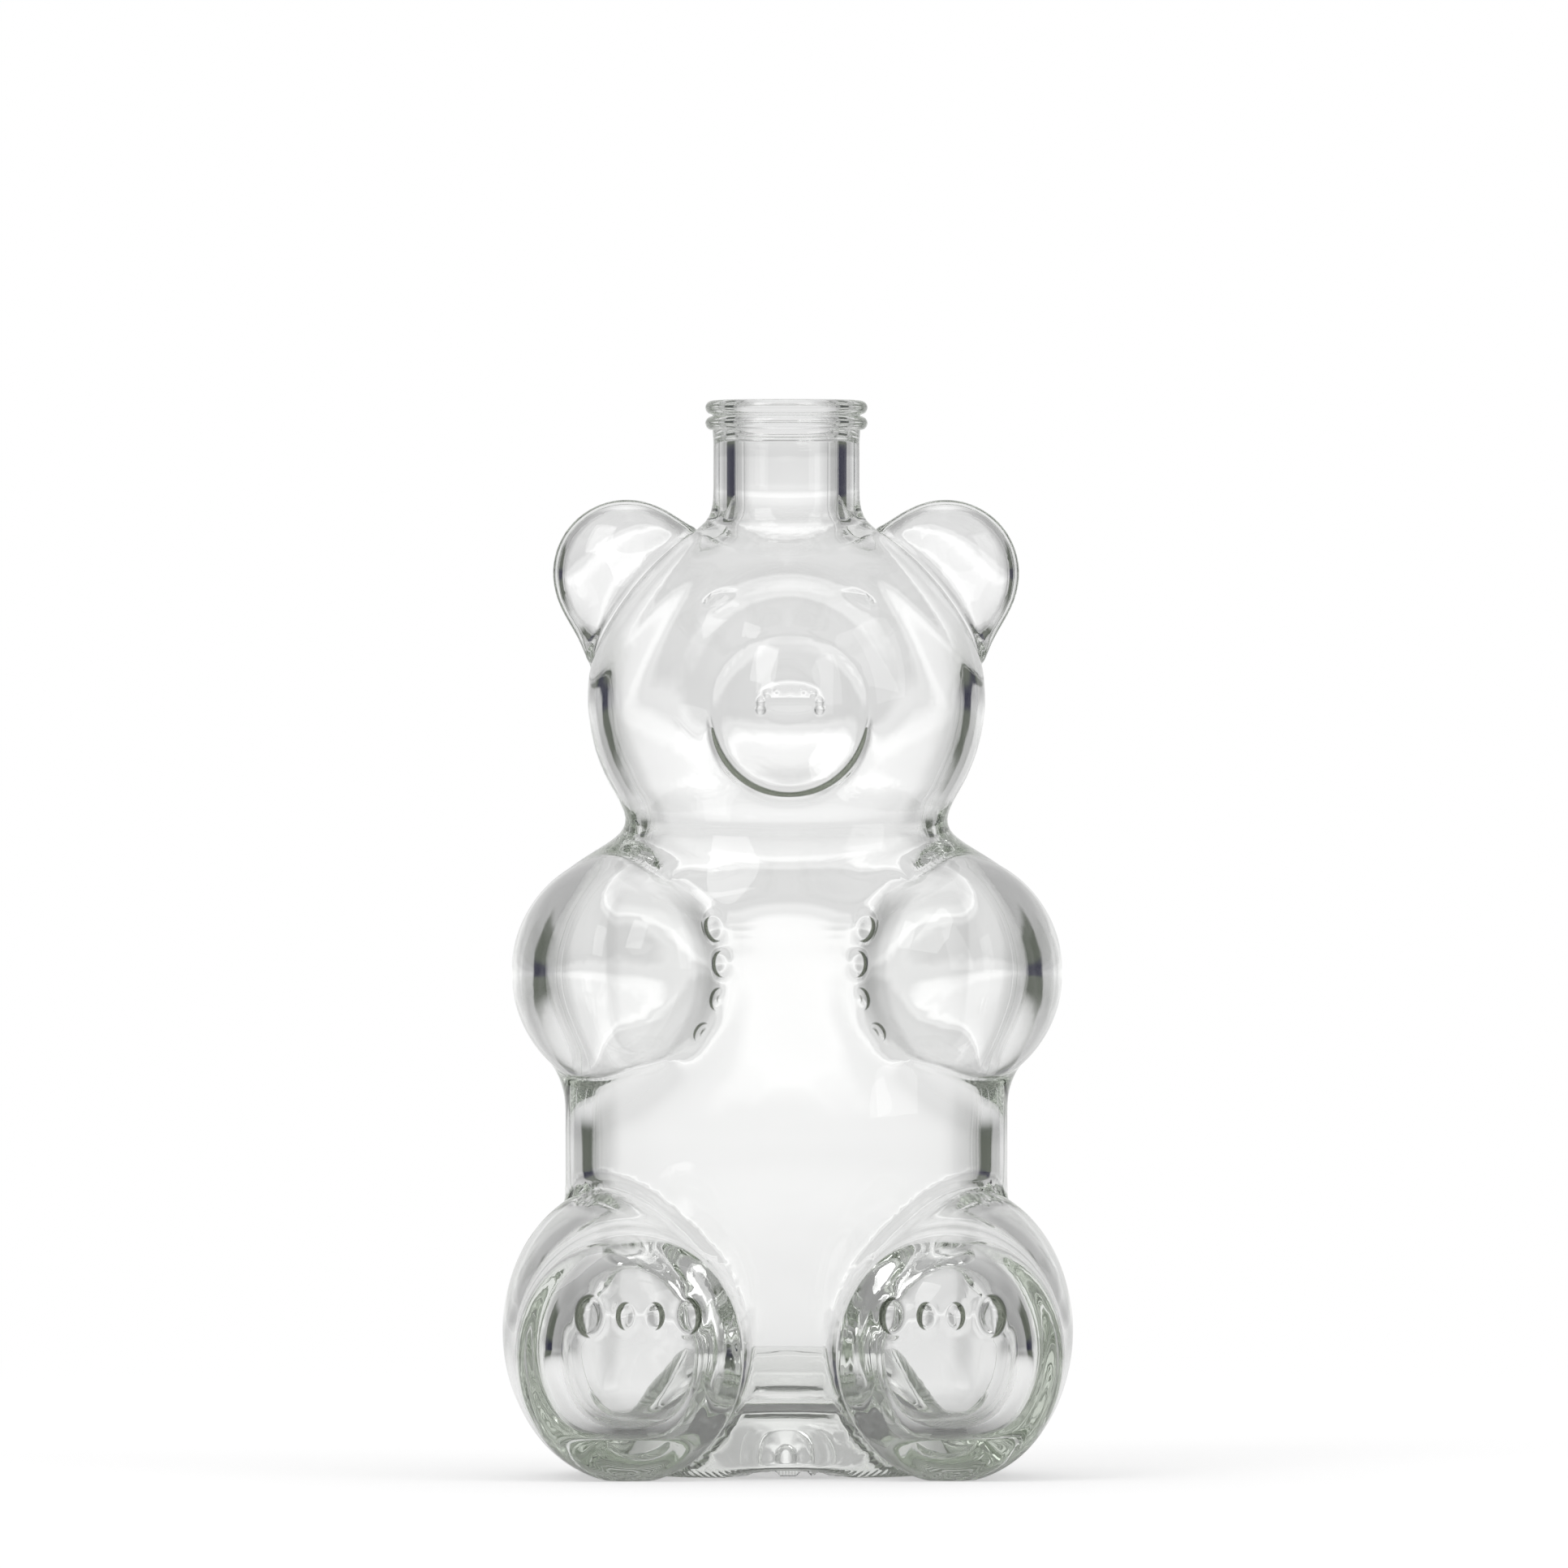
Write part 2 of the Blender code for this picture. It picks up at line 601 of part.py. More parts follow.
def glass_material():
    """Clear glass with a slight green tint."""
    material = bpy.data.materials.new("clear_glass")
    material.use_nodes = True
    shader = material.node_tree.nodes["Principled BSDF"]
    shader.inputs["Base Color"].default_value = GLASS_COLOUR
    shader.inputs["Metallic"].default_value = 0.0
    shader.inputs["Roughness"].default_value = GLASS_ROUGHNESS
    shader.inputs["IOR"].default_value = GLASS_IOR
    shader.inputs["Transmission Weight"].default_value = 1.0
    return material


def glass_bottle():
    """The bottle: outer skin, hollow skin and turned mouth joined into one wall of glass."""
    lobes = [HEAD, MUZZLE, BRIDGE, BELLY]
    drums = [TORSO, COLLAR, NECK]
    hollow_lobes = [HEAD.thinned(HEAD_WALL), MUZZLE.thinned(MUZZLE_WALL), BELLY.thinned(TORSO_WALL)]
    hollow_drums = [TORSO.thinned(TORSO_WALL), COLLAR.thinned(TORSO_WALL), BORE]
    for side in (-1.0, 1.0):
        lobes += [*arm(side), foot(side)]
        lobes += ear(side)
        drums.append(sole(side))
        hollow_lobes += [arm(side)[0].thinned(ARM_WALL), foot(side).thinned(FOOT_WALL)]
        hollow_lobes += [lobe.thinned(EAR_WALL) for lobe in ear(side)]
        hollow_drums.append(sole(side).thinned(FOOT_WALL))

    whole = bmesh.new()
    outside = skin(lobes, drums, outer_field, OUTER_FACES, True)
    inside = skin(hollow_lobes, hollow_drums, hollow_field, HOLLOW_FACES, False)
    for part in (outside, inside):
        cut_at_neck(part)
        mesh = bpy.data.meshes.new("skin")
        part.to_mesh(mesh)
        part.free()
        whole.from_mesh(mesh)
        bpy.data.meshes.remove(mesh)
    turned_mouth(whole)
    bridge(whole, False)
    bridge(whole, True)
    bmesh.ops.triangulate(whole, faces=whole.faces)
    bmesh.ops.recalc_face_normals(whole, faces=whole.faces)
    depths = [point.co.y for point in whole.verts]
    middle = (min(depths) + max(depths)) / 2.0
    bmesh.ops.translate(whole, verts=whole.verts, vec=(0.0, -middle, 0.0))

    mesh = bpy.data.meshes.new("glass_bottle")
    whole.to_mesh(mesh)
    whole.free()
    mesh.shade_smooth()
    mesh.materials.append(glass_material())
    bottle = bpy.data.objects.new("glass_bottle", mesh)
    bpy.context.scene.collection.objects.link(bottle)
    return bottle


def main():
    """Clears the scene and builds the bottle."""
    for old in list(bpy.data.objects):
        bpy.data.objects.remove(old)
    glass_bottle()


main()
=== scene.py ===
"""Looks of the bear-shaped clear glass bottle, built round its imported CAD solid.

The bottle is one moulded piece of glass, so the scene has one piece. Its head, its body and
its mouth are classes that hold the sizes of their forms and say where the glass begins and
ends. The bottle skins these forms outside and inside, closes them with the turned mouth, and
dresses the wall in clear glass. Metres, +Z up, the bear looks along -Y.
"""

import logging
import math
from collections.abc import Callable, Iterable
from dataclasses import dataclass, field, replace
from enum import Enum

import bmesh
import bpy
import numpy as np
from mathutils import Matrix, Vector

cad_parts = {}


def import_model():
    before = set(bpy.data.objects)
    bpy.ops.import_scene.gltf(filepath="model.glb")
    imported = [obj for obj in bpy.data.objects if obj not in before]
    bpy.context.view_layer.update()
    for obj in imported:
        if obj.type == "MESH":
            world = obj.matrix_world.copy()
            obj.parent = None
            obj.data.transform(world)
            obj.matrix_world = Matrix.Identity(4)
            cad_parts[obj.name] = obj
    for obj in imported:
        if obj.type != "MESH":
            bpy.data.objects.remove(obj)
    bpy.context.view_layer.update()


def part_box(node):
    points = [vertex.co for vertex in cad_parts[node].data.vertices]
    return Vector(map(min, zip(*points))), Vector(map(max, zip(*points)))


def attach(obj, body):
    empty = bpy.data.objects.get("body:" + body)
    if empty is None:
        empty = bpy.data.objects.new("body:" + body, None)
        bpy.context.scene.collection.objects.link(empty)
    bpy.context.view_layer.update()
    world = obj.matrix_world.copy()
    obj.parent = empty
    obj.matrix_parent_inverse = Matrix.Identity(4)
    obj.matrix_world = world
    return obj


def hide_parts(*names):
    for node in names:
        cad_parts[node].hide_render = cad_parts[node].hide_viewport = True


LOG = logging.getLogger("bear_bottle")

Span = tuple[float, float]
Spans = tuple[Span, ...]
Size = tuple[float, float, float]
Colour = tuple[float, float, float, float]
Array = np.ndarray
Field = Callable[[Array], Array]
Tree = bpy.types.NodeTree
Socket = bpy.types.NodeSocket
Sockets = bpy.types.bpy_prop_collection
Inputs = dict[str | int, object]


class Side(Enum):
    """A side of the bear, with the sign of its X."""

    RIGHT_HAND = -1.0
    LEFT_HAND = 1.0


class Skin(Enum):
    """The two skins of the glass wall."""

    OUTSIDE = "outside"
    HOLLOW = "hollow"


# Keeps the distance to a form's middle from being nothing
LEAST_REACH = 1e-9

# Half the width of the sunk lines where forms meet
CREASE_WIDTH = 0.0005

# Segments of the plain balls and drums that a skin starts from
BALL_SEGMENTS = 40
BALL_RINGS = 20
DRUM_SEGMENTS = 48

# Points of the turned mouth nearer than this are one point
SAME_POINT = 0.00001

# Painted shade on a small bump's steep flank, a dark crescent put in the glass's colour: how far it
# goes, how deep it reaches, its size by the bump's size, and where it fades at the rims of its two balls
SHADE_SHARE = 0.6
SHADE_DEPTH = 0.0031
SHADE_WIDTH_SHARE = 1.1
SHADE_HEIGHT_SHARE = 1.15
SHADE_RIM = (0.9, 1.0)
SHADE_INNER_RIM = (0.95, 1.05)

# Painted shade along the crease under the muzzle, a dark line put in the glass's colour: how deep it
# lies, where it fades, and how softly it ends
LINE_SINK = 0.0002
LINE_REACH = (0.00028, 0.000448)
LINE_END = 0.001

# The marks of the mould: detail of the ripples, the ridges at the floor, and the seam
RIPPLE_DETAIL = 1.5
RIDGES_IN_RADIAN = 120.0
RIDGE_REACH = (0.0003, 0.0014)
RIDGE_HEIGHT = 0.00008
SEAM_BACK = 0.0085
SEAM_REACH = (0.0001, 0.00045)
SEAM_HEIGHT = 0.00006

# The marks of use: smears all over, and the height up to which the table scuffs the glass
SMEAR_SCALE = 70.0
SMEAR_DETAIL = 4.0
SMEAR_RANGE = (0.45, 0.75)
SCUFF_REACH = (0.00005, 0.0002)

# How bright the studio is in the glass, by the angle from straight behind the bottle and by the
# angle over the horizon in degrees, and where its dark side panels and their paler ends are
ROOM_BY_TURN = (
    (0.0, 1.0), (9.0, 0.98), (16.0, 0.79), (28.0, 0.56), (70.0, 0.48), (95.0, 0.4), (180.0, 0.45),
)
ROOM_BY_RISE = (
    (-90.0, 0.74), (-30.0, 0.7), (-8.0, 0.76), (-2.3, 0.88), (-1.3, 1.0), (-0.6, 0.97),
    (-0.3, 0.89), (0.0, 0.79), (0.3, 0.78), (0.7, 0.81), (1.1, 0.7), (1.5, 0.67), (4.0, 0.7),
    (20.0, 0.72), (31.0, 0.68), (48.0, 0.84), (90.0, 0.86),
)
ROOM_STRENGTH = 1.13
PANEL_BY_TURN = ((0.0, 0.0), (35.0, 0.0), (38.5, 1.0), (62.0, 1.0), (68.0, 0.0), (180.0, 0.0))
PANEL_BY_RISE = ((-90.0, 0.0), (-32.0, 0.0), (-10.0, 1.0), (16.0, 1.0), (22.0, 0.0), (90.0, 0.0))
PANEL_EDGE_BY_RISE = ((-90.0, 1.0), (-3.2, 1.0), (-1.6, 0.0), (2.0, 0.0), (5.0, 1.0), (90.0, 1.0))
PANEL_COLOUR = (0.016, 0.016, 0.04, 1.0)
PANEL_EDGE_COLOUR = (0.1, 0.112, 0.09, 1.0)


def elliptic_distance(away: Array, half: Size | Span) -> Array:
    """Distance to an ellipse or ellipsoid round the origin, close to exact near its surface.

    Args:
        away: Points measured from its middle.
        half: Its half sizes along each axis.

    Returns:
        The distance of each point, negative inside.
    """
    scaled = away / half
    reach = np.maximum(np.linalg.norm(scaled, axis=-1), LEAST_REACH)
    slope = np.maximum(np.linalg.norm(scaled / half, axis=-1), LEAST_REACH / max(half))
    return reach * (reach - 1.0) / slope


def joined(first: Array, second: Array, blend: float) -> Array:
    """Smooth union of two fields, with a fillet about as wide as the blend."""
    near = np.maximum(blend - np.abs(first - second), 0.0) / blend
    return np.minimum(first, second) - near**3 * blend / 6.0


def creased(
    first: Array, second: Array, blend: float, sink: float, width: float = CREASE_WIDTH
) -> Array:
    """Smooth union along a line, twice as wide as the width, that is sunk into the glass."""
    near = np.exp(-(first**2 + second**2) / width**2)
    return joined(first, second, blend) + sink * near


def common(first: Array, second: Array, blend: float) -> Array:
    """Smooth intersection of two fields, with a round about as wide as the blend."""
    return -joined(-first, -second, blend)


def behind(points: Array, start: float, end: float) -> Array:
    """How far back each point is, from 0 at the start's Y to 1 at the end's."""
    return np.clip((points[..., 1] - start) / (end - start), 0.0, 1.0)


def mirrored(points: Array) -> Array:
    """The points with their X made positive, because the bear's two sides are alike."""
    return np.abs(points * (1.0, 0.0, 0.0)) + points * (0.0, 1.0, 1.0)


@dataclass(frozen=True)
class Lobe:
    """An ellipsoid of glass, by its middle and its half sizes."""

    at: Size
    half: Size

    def field(self, points: Array) -> Array:
        """Distance from each point to the lobe, negative inside."""
        return elliptic_distance(points - self.at, self.half)

    def front(self, x: float, z: float) -> float:
        """The Y of the lobe's front surface at this X and Z."""
        across = (x - self.at[0]) / self.half[0]
        upright = (z - self.at[2]) / self.half[2]
        return self.at[1] - self.half[1] * math.sqrt(max(1.0 - across**2 - upright**2, 0.0))

    def thinned(self, wall: float) -> "Lobe":
        """The same lobe, smaller by the wall all round."""
        return Lobe(self.at, tuple(size - wall for size in self.half))

    def add_to(self, bm: bmesh.types.BMesh) -> None:
        """Adds the lobe as a ball to the bmesh."""
        place = Matrix.Translation(self.at) @ Matrix.Diagonal((*self.half, 1.0))
        bmesh.ops.create_uvsphere(
            bm, u_segments=BALL_SEGMENTS, v_segments=BALL_RINGS, radius=1.0, matrix=place
        )


@dataclass(frozen=True)
class Drum:
    """An elliptical drum with rounded rims, upright or facing along Y.

    Attributes:
        at: Its middle.
        half_width: Its half size along X.
        half_breadth: Its half size across, along Y, or along Z where it faces forward.
        half_length: Half its length along its own axis.
        far_edge: Radius of the rim at its +axis end.
        near_edge: Radius of the rim at its -axis end.
        faces_forward: Whether its axis lies along Y.
    """

    at: Size
    half_width: float
    half_breadth: float
    half_length: float
    far_edge: float = 0.0
    near_edge: float = 0.0
    faces_forward: bool = False

    def field(self, points: Array) -> Array:
        """Distance from each point to the drum, negative inside."""
        away = points - self.at
        if self.faces_forward:
            away = away[..., [0, 2, 1]]
        edge = np.where(away[..., 2] > 0.0, self.far_edge, self.near_edge)
        side = elliptic_distance(away[..., :2], (self.half_width, self.half_breadth)) + edge
        end = np.abs(away[..., 2]) - self.half_length + edge
        outside = np.hypot(np.maximum(side, 0.0), np.maximum(end, 0.0))
        return np.minimum(np.maximum(side, end), 0.0) + outside - edge

    def front(self, x: float, _height: float) -> float:
        """The Y of an upright drum's front surface at this X, the same at each height."""
        across = (x - self.at[0]) / self.half_width
        return self.at[1] - self.half_breadth * math.sqrt(max(1.0 - across**2, 0.0))

    def thinned(self, wall: float) -> "Drum":
        """The same drum, smaller by the wall all round."""
        length = self.half_length - wall
        return Drum(
            self.at, self.half_width - wall, self.half_breadth - wall, length,
            min(self.far_edge, length), min(self.near_edge, length), self.faces_forward,
        )

    def add_to(self, bm: bmesh.types.BMesh) -> None:
        """Adds the drum as a plain cylinder to the bmesh."""
        turn = Matrix.Rotation(math.radians(90.0 if self.faces_forward else 0.0), 4, "X")
        size = Matrix.Diagonal((self.half_width, self.half_breadth, self.half_length * 2.0, 1.0))
        bmesh.ops.create_cone(
            bm, cap_ends=True, segments=DRUM_SEGMENTS, radius1=1.0, radius2=1.0, depth=1.0,
            matrix=Matrix.Translation(self.at) @ turn @ size,
        )


@dataclass(frozen=True)
class Bump:
    """A small dome on the front of the glass that leans to one side, where its flank is steep.

    Attributes:
        at: Its middle, on the surface that carries it.
        half: Its half sizes.
        lean: How far it leans along X and along Z for each metre that it stands out.
    """

    at: Size
    half: Size
    lean: Span = (0.0, 0.0)

    def field(self, points: Array) -> Array:
        """Distance from each point to the bump, negative inside."""
        across, back, up = np.moveaxis(points - self.at, -1, 0)
        upright = np.stack([across + back * self.lean[0], back, up + back * self.lean[1]], axis=-1)
        return elliptic_distance(upright, self.half) / math.hypot(1.0, *self.lean)

    def shade(self) -> "Shade":
        """Where its steep flank gets painted shade, a dark crescent in the glass's colour."""
        away = tuple(-lean * self.half[0] * SHADE_SHARE for lean in self.lean)
        width = self.half[0] * SHADE_WIDTH_SHARE
        height = self.half[2] * SHADE_HEIGHT_SHARE
        return Shade(self.at, (width, SHADE_DEPTH, height), (away[0], 0.0, away[1]))


@dataclass(frozen=True)
class Shade:
    """A crescent of painted shade: the part of a ball's front that a second ball beside it leaves over.

    Attributes:
        at: Middle of the first ball.
        half: Half sizes of both.
        away: From the first ball's middle to the second one's.
    """

    at: Size
    half: Size
    away: Size


Form = Lobe | Drum


@dataclass(frozen=True)
class Head:
    """The bear's head: skull, two ears, muzzle with its bridge, nose and two eyes."""

    height: float
    half: Size = (0.0294, 0.0261, 0.0278)
    wall: float = 0.003
    ear_half: Size = (0.0109, 0.0065, 0.0109)
    ear_place: Size = (0.803, 0.11, 0.665)
    ear_root_half: Size = (0.0145, 0.0115, 0.0145)
    ear_root_place: Size = (0.527, 0.11, 0.36)
    ear_wall: float = 0.0012
    ear_root_blend: float = 0.006
    ear_blend: float = 0.0004
    ear_sink: float = 0.0004
    ear_back_blend: float = 0.006
    muzzle_half: Size = (0.013, 0.0133, 0.013)
    muzzle_place: Size = (0.0, -0.67, -0.0815)
    muzzle_wall: float = 0.0025
    muzzle_blend: float = 0.0006
    muzzle_sink: float = 0.0005
    muzzle_line_end: float = 0.004
    bridge_half: Size = (0.0135, 0.014, 0.0125)
    bridge_place: Size = (0.0, -0.547, 0.108)
    bridge_blend: float = 0.008
    nose_half: Size = (0.0043, 0.0022, 0.0022)
    nose_up_share: float = 0.14
    nose_sink_share: float = 0.5
    nostril_half: Size = (0.0008, 0.0011, 0.0008)
    nostril_places: Spans = (
        (0.0042, -0.0014), (0.0041, -0.0003), (0.0032, 0.0008), (0.0018, 0.0012), (0.0, 0.001),
    )
    eye_half: Size = (0.0022, 0.0005, 0.0011)
    eye_place: Size = (0.347, 0.0, 0.518)
    nose_blend: float = 0.0015
    nostril_blend: float = 0.0003
    eye_blend: float = 0.0012

    def placed(self, shares: Size, side: Side = Side.LEFT_HAND) -> Size:
        """A place in the head, by shares of its half sizes from its middle."""
        out, back, up = np.multiply(shares, self.half).tolist()
        return (side.value * out, back, self.height + up)

    def skull(self) -> Lobe:
        """The main lobe of the head."""
        return Lobe((0.0, 0.0, self.height), self.half)

    def ear(self, side: Side) -> tuple[Lobe, Lobe]:
        """The lens-like disc of one ear, and the wider root that joins it to the head."""
        lobes = ((self.ear_place, self.ear_half), (self.ear_root_place, self.ear_root_half))
        return tuple(Lobe(self.placed(place, side), half) for place, half in lobes)

    def muzzle(self) -> Lobe:
        """The round muzzle."""
        return Lobe(self.placed(self.muzzle_place), self.muzzle_half)

    def bridge(self) -> Lobe:
        """The soft rise from the muzzle to the forehead."""
        return Lobe(self.placed(self.bridge_place), self.bridge_half)

    def nose(self) -> Lobe:
        """The small lobe on the front of the muzzle."""
        muzzle = self.muzzle()
        height = muzzle.at[2] + muzzle.half[2] * self.nose_up_share
        depth = muzzle.front(0.0, height) + self.nose_half[1] * self.nose_sink_share
        return Lobe((0.0, depth, height), self.nose_half)

    def nostrils(self) -> list[Lobe]:
        """The small beads that arch over the nose, those at +X and the middle one."""
        nose = self.nose()
        muzzle = self.muzzle()
        found = []
        for out, up in self.nostril_places:
            height = nose.at[2] + up
            found.append(Lobe((out, muzzle.front(out, height), height), self.nostril_half))
        return found

    def eye(self) -> Lobe:
        """The bump of the eye on the +X side."""
        out, _, height = self.placed(self.eye_place)
        return Lobe((out, self.skull().front(out, height), height), self.eye_half)

    def outer(self, points: Array) -> Array:
        """Distance from each point to the outside of the head."""
        aside = mirrored(points)
        tip, root = self.ear(Side.LEFT_HAND)
        ears = joined(tip.field(aside), root.field(aside), self.ear_root_blend)
        back = behind(points, tip.at[1], tip.at[1] + self.ear_half[1])
        blend = self.ear_blend + self.ear_back_blend * back
        found = creased(self.skull().field(points), ears, blend, self.ear_sink * (1.0 - back))
        end = self.muzzle_line_end
        under = np.clip((self.muzzle().at[2] + end - points[..., 2]) / end, 0.0, 1.0)
        sink = self.muzzle_sink * under
        found = creased(found, self.muzzle().field(points), self.muzzle_blend, sink)
        found = joined(found, self.bridge().field(points), self.bridge_blend)
        found = joined(found, self.nose().field(points), self.nose_blend)
        for bead in self.nostrils():
            found = joined(found, bead.field(aside), self.nostril_blend)
        return joined(found, self.eye().field(aside), self.eye_blend)

    def hollow(self, points: Array, blend: float) -> Array:
        """Distance from each point to the hollow of the head, its forms melted by the blend."""
        aside = mirrored(points)
        tip, root = (lobe.thinned(self.ear_wall) for lobe in self.ear(Side.LEFT_HAND))
        ears = joined(tip.field(aside), root.field(aside), blend)
        found = joined(self.skull().thinned(self.wall).field(points), ears, blend)
        for lobe in (self.muzzle(), self.bridge()):
            found = joined(found, lobe.thinned(self.muzzle_wall).field(points), blend)
        return found

    def forms(self, skin: Skin) -> list[Form]:
        """The plain forms that the head's skin starts from."""
        ears = [*self.ear(Side.RIGHT_HAND), *self.ear(Side.LEFT_HAND)]
        if skin is Skin.OUTSIDE:
            return [self.skull(), self.muzzle(), self.bridge(), *ears]
        hollow = [self.skull().thinned(self.wall), self.muzzle().thinned(self.muzzle_wall)]
        return hollow + [lobe.thinned(self.ear_wall) for lobe in ears]

    def bumps(self) -> list[Lobe]:
        """The small bumps that need finer facets, those at +X only."""
        return [self.nose(), *self.nostrils(), self.eye()]


@dataclass(frozen=True)
class Body:
    """The bear's sitting body: torso, collar, belly, arms with paws, and feet."""

    half_width: float = 0.0326
    half_depth: float = 0.0265
    height: float = 0.094
    edge_radius: float = 0.014
    heel_radius: float = 0.008
    sink: float = 0.0004
    wall: float = 0.0042
    collar_shares: Span = (0.71, 0.81)
    collar_half_height: float = 0.012
    collar_edge_radius: float = 0.004
    collar_blend: float = 0.008
    belly_shares: Span = (0.828, 0.868)
    belly_half_height: float = 0.034
    belly_place: Size = (0.0, -0.226, 0.53)
    belly_blend: float = 0.01
    arm_half: Size = (0.0175, 0.024, 0.0179)
    arm_place: Size = (0.712, -0.19, 0.787)
    arm_wall: float = 0.0045
    arm_blend: float = 0.0008
    arm_hollow_blend: float = 0.014
    paw_half: Size = (0.0093, 0.01, 0.0125)
    paw_place: Size = (0.598, -0.84, 0.79)
    paw_blend: float = 0.006
    finger_half: Size = (0.0017, 0.0018, 0.0019)
    finger_lean: float = 1.0
    finger_shares: Spans = (
        (-0.9, 0.5), (-1.0, 0.09), (-0.93, -0.31), (-0.69, -0.68),
    )
    foot_half: Size = (0.0178, 0.0215, 0.0218)
    foot_out_share: float = 0.742
    foot_forward_share: float = 0.453
    foot_wall: float = 0.0048
    foot_hollow_blend: float = 0.0065
    foot_blend: float = 0.0008
    foot_sink: float = 0.0008
    foot_crease_width: float = 0.0008
    sole_width_share: float = 0.944
    sole_half_height: float = 0.0187
    sole_half_length: float = 0.0115
    sole_inward_share: float = 0.04
    sole_forward_share: float = 1.07
    sole_edge_radius: float = 0.0062
    sole_blend: float = 0.0035
    toe_half: Size = (0.0015, 0.0015, 0.0021)
    toe_out_shares: tuple[float, ...] = (-0.53, -0.25, -0.005, 0.29)
    toe_leans: tuple[float, ...] = (-1.0, -1.0, 1.0, 1.1)
    toe_lean_up: float = 0.3
    toe_sizes: tuple[float, ...] = (1.2, 0.9, 0.9, 1.4)
    toe_up_share: float = 0.13
    digit_blend: float = 0.0002
    digit_sink: float = 0.00025
    crease_sink: float = 0.0004
    soft_reach: Span = (-0.008, 0.004)
    tip_reach: Span = (0.0145, 0.0185)
    tip_blend: float = 0.004
    back_blend: float = 0.009
    arch_half: Size = (0.01, 0.016, 0.0012)
    arch_blend: float = 0.0012

    def placed(self, shares: Size, side: Side = Side.LEFT_HAND) -> Size:
        """A place in the body, by shares of its half width, half depth and height."""
        out, back, up = shares
        return (side.value * self.half_width * out, self.half_depth * back, self.height * up)

    def torso(self) -> Drum:
        """The upright drum of the trunk, sunk a little so that the base cuts it flat."""
        middle = (0.0, 0.0, (self.height - self.sink) / 2.0)
        length = (self.height + self.sink) / 2.0
        return Drum(
            middle, self.half_width, self.half_depth, length, self.edge_radius, self.heel_radius
        )

    def collar(self) -> Drum:
        """The narrower drum between torso and head."""
        edge = self.collar_edge_radius
        return Drum(
            (0.0, 0.0, self.height - edge),
            self.half_width * self.collar_shares[0], self.half_depth * self.collar_shares[1],
            self.collar_half_height, edge, edge,
        )

    def belly(self) -> Lobe:
        """The lobe that rounds the front of the torso."""
        width, depth = self.belly_shares
        half = (self.half_width * width, self.half_depth * depth, self.belly_half_height)
        return Lobe(self.placed(self.belly_place), half)

    def arm(self, side: Side) -> tuple[Lobe, Lobe]:
        """The upper arm's lobe, and the paw's lobe on the chest."""
        limbs = ((self.arm_place, self.arm_half), (self.paw_place, self.paw_half))
        return tuple(Lobe(self.placed(place, side), half) for place, half in limbs)

    def fingers(self) -> list[Bump]:
        """The four small bumps that end the paw at +X, in an arc, and lean to its middle."""
        upper, paw = self.arm(Side.LEFT_HAND)
        carriers = (upper, paw, self.belly(), self.torso())
        found = []
        for out_share, up_share in self.finger_shares:
            out = paw.at[0] + paw.half[0] * out_share
            height = paw.at[2] + paw.half[2] * up_share
            depth = min(carrier.front(out, height) for carrier in carriers)
            share = self.finger_lean / math.hypot(out_share, up_share)
            lean = (-out_share * share, -up_share * share)
            found.append(Bump((out, depth, height), self.finger_half, lean))
        return found

    def foot(self, side: Side) -> tuple[Lobe, Drum]:
        """The rounded haunch of one foot, and its flat front end, which faces forward."""
        haunch = Lobe(
            (
                side.value * self.half_width * self.foot_out_share,
                -self.half_depth * self.foot_forward_share,
                self.foot_half[2] - self.sink,
            ),
            self.foot_half,
        )
        out = haunch.at[0] - side.value * self.foot_half[0] * self.sole_inward_share
        depth = self.sole_front() + self.sole_half_length
        sole = Drum(
            (out, depth, self.sole_half_height - self.sink),
            self.foot_half[0] * self.sole_width_share, self.sole_half_height, self.sole_half_length,
            self.sole_edge_radius, self.sole_edge_radius, True,
        )
        return haunch, sole

    def sole_front(self) -> float:
        """The Y of the flat fronts of the feet."""
        reach = self.foot_half[1] * self.sole_forward_share
        return -reach - self.half_depth * self.foot_forward_share

    def toes(self) -> list[Bump]:
        """The four bumps on the sole at +X, in a row, the outer ones the largest."""
        haunch, _ = self.foot(Side.LEFT_HAND)
        height = haunch.at[2] + haunch.half[2] * self.toe_up_share
        found = []
        for share, lean, size in zip(self.toe_out_shares, self.toe_leans, self.toe_sizes):
            place = (haunch.at[0] + haunch.half[0] * share, self.sole_front(), height)
            half = tuple(half * size for half in self.toe_half)
            found.append(Bump(place, half, (lean, self.toe_lean_up)))
        return found

    def outer(self, points: Array) -> Array:
        """Distance from each point to the outside of the body."""
        aside = mirrored(points)
        upper, paw = self.arm(Side.LEFT_HAND)
        haunch, sole = self.foot(Side.LEFT_HAND)
        found = joined(self.torso().field(points), self.collar().field(points), self.collar_blend)
        found = joined(found, self.belly().field(points), self.belly_blend)
        arms = joined(upper.field(aside), paw.field(aside), self.paw_blend)
        back = behind(points, *self.soft_reach)
        tip = np.clip((self.tip_reach[1] - aside[..., 0]) / np.ptp(self.tip_reach), 0.0, 1.0)
        blend = self.arm_blend + self.back_blend * back + self.tip_blend * tip
        found = creased(found, arms, blend, self.crease_sink * (1.0 - back) * (1.0 - tip))
        for finger in self.fingers():
            found = creased(found, finger.field(aside), self.digit_blend, self.digit_sink)
        feet = joined(haunch.field(aside), sole.field(aside), self.sole_blend)
        for toe in self.toes():
            feet = creased(feet, toe.field(aside), self.digit_blend, self.digit_sink)
        arch = Lobe((0.0, -self.half_depth, 0.0), self.arch_half)
        found = common(found, -arch.field(points), self.arch_blend)
        deep = self.foot_sink * (1.0 - back)
        blend = self.foot_blend + self.back_blend * back
        return creased(found, feet, blend, deep, self.foot_crease_width)

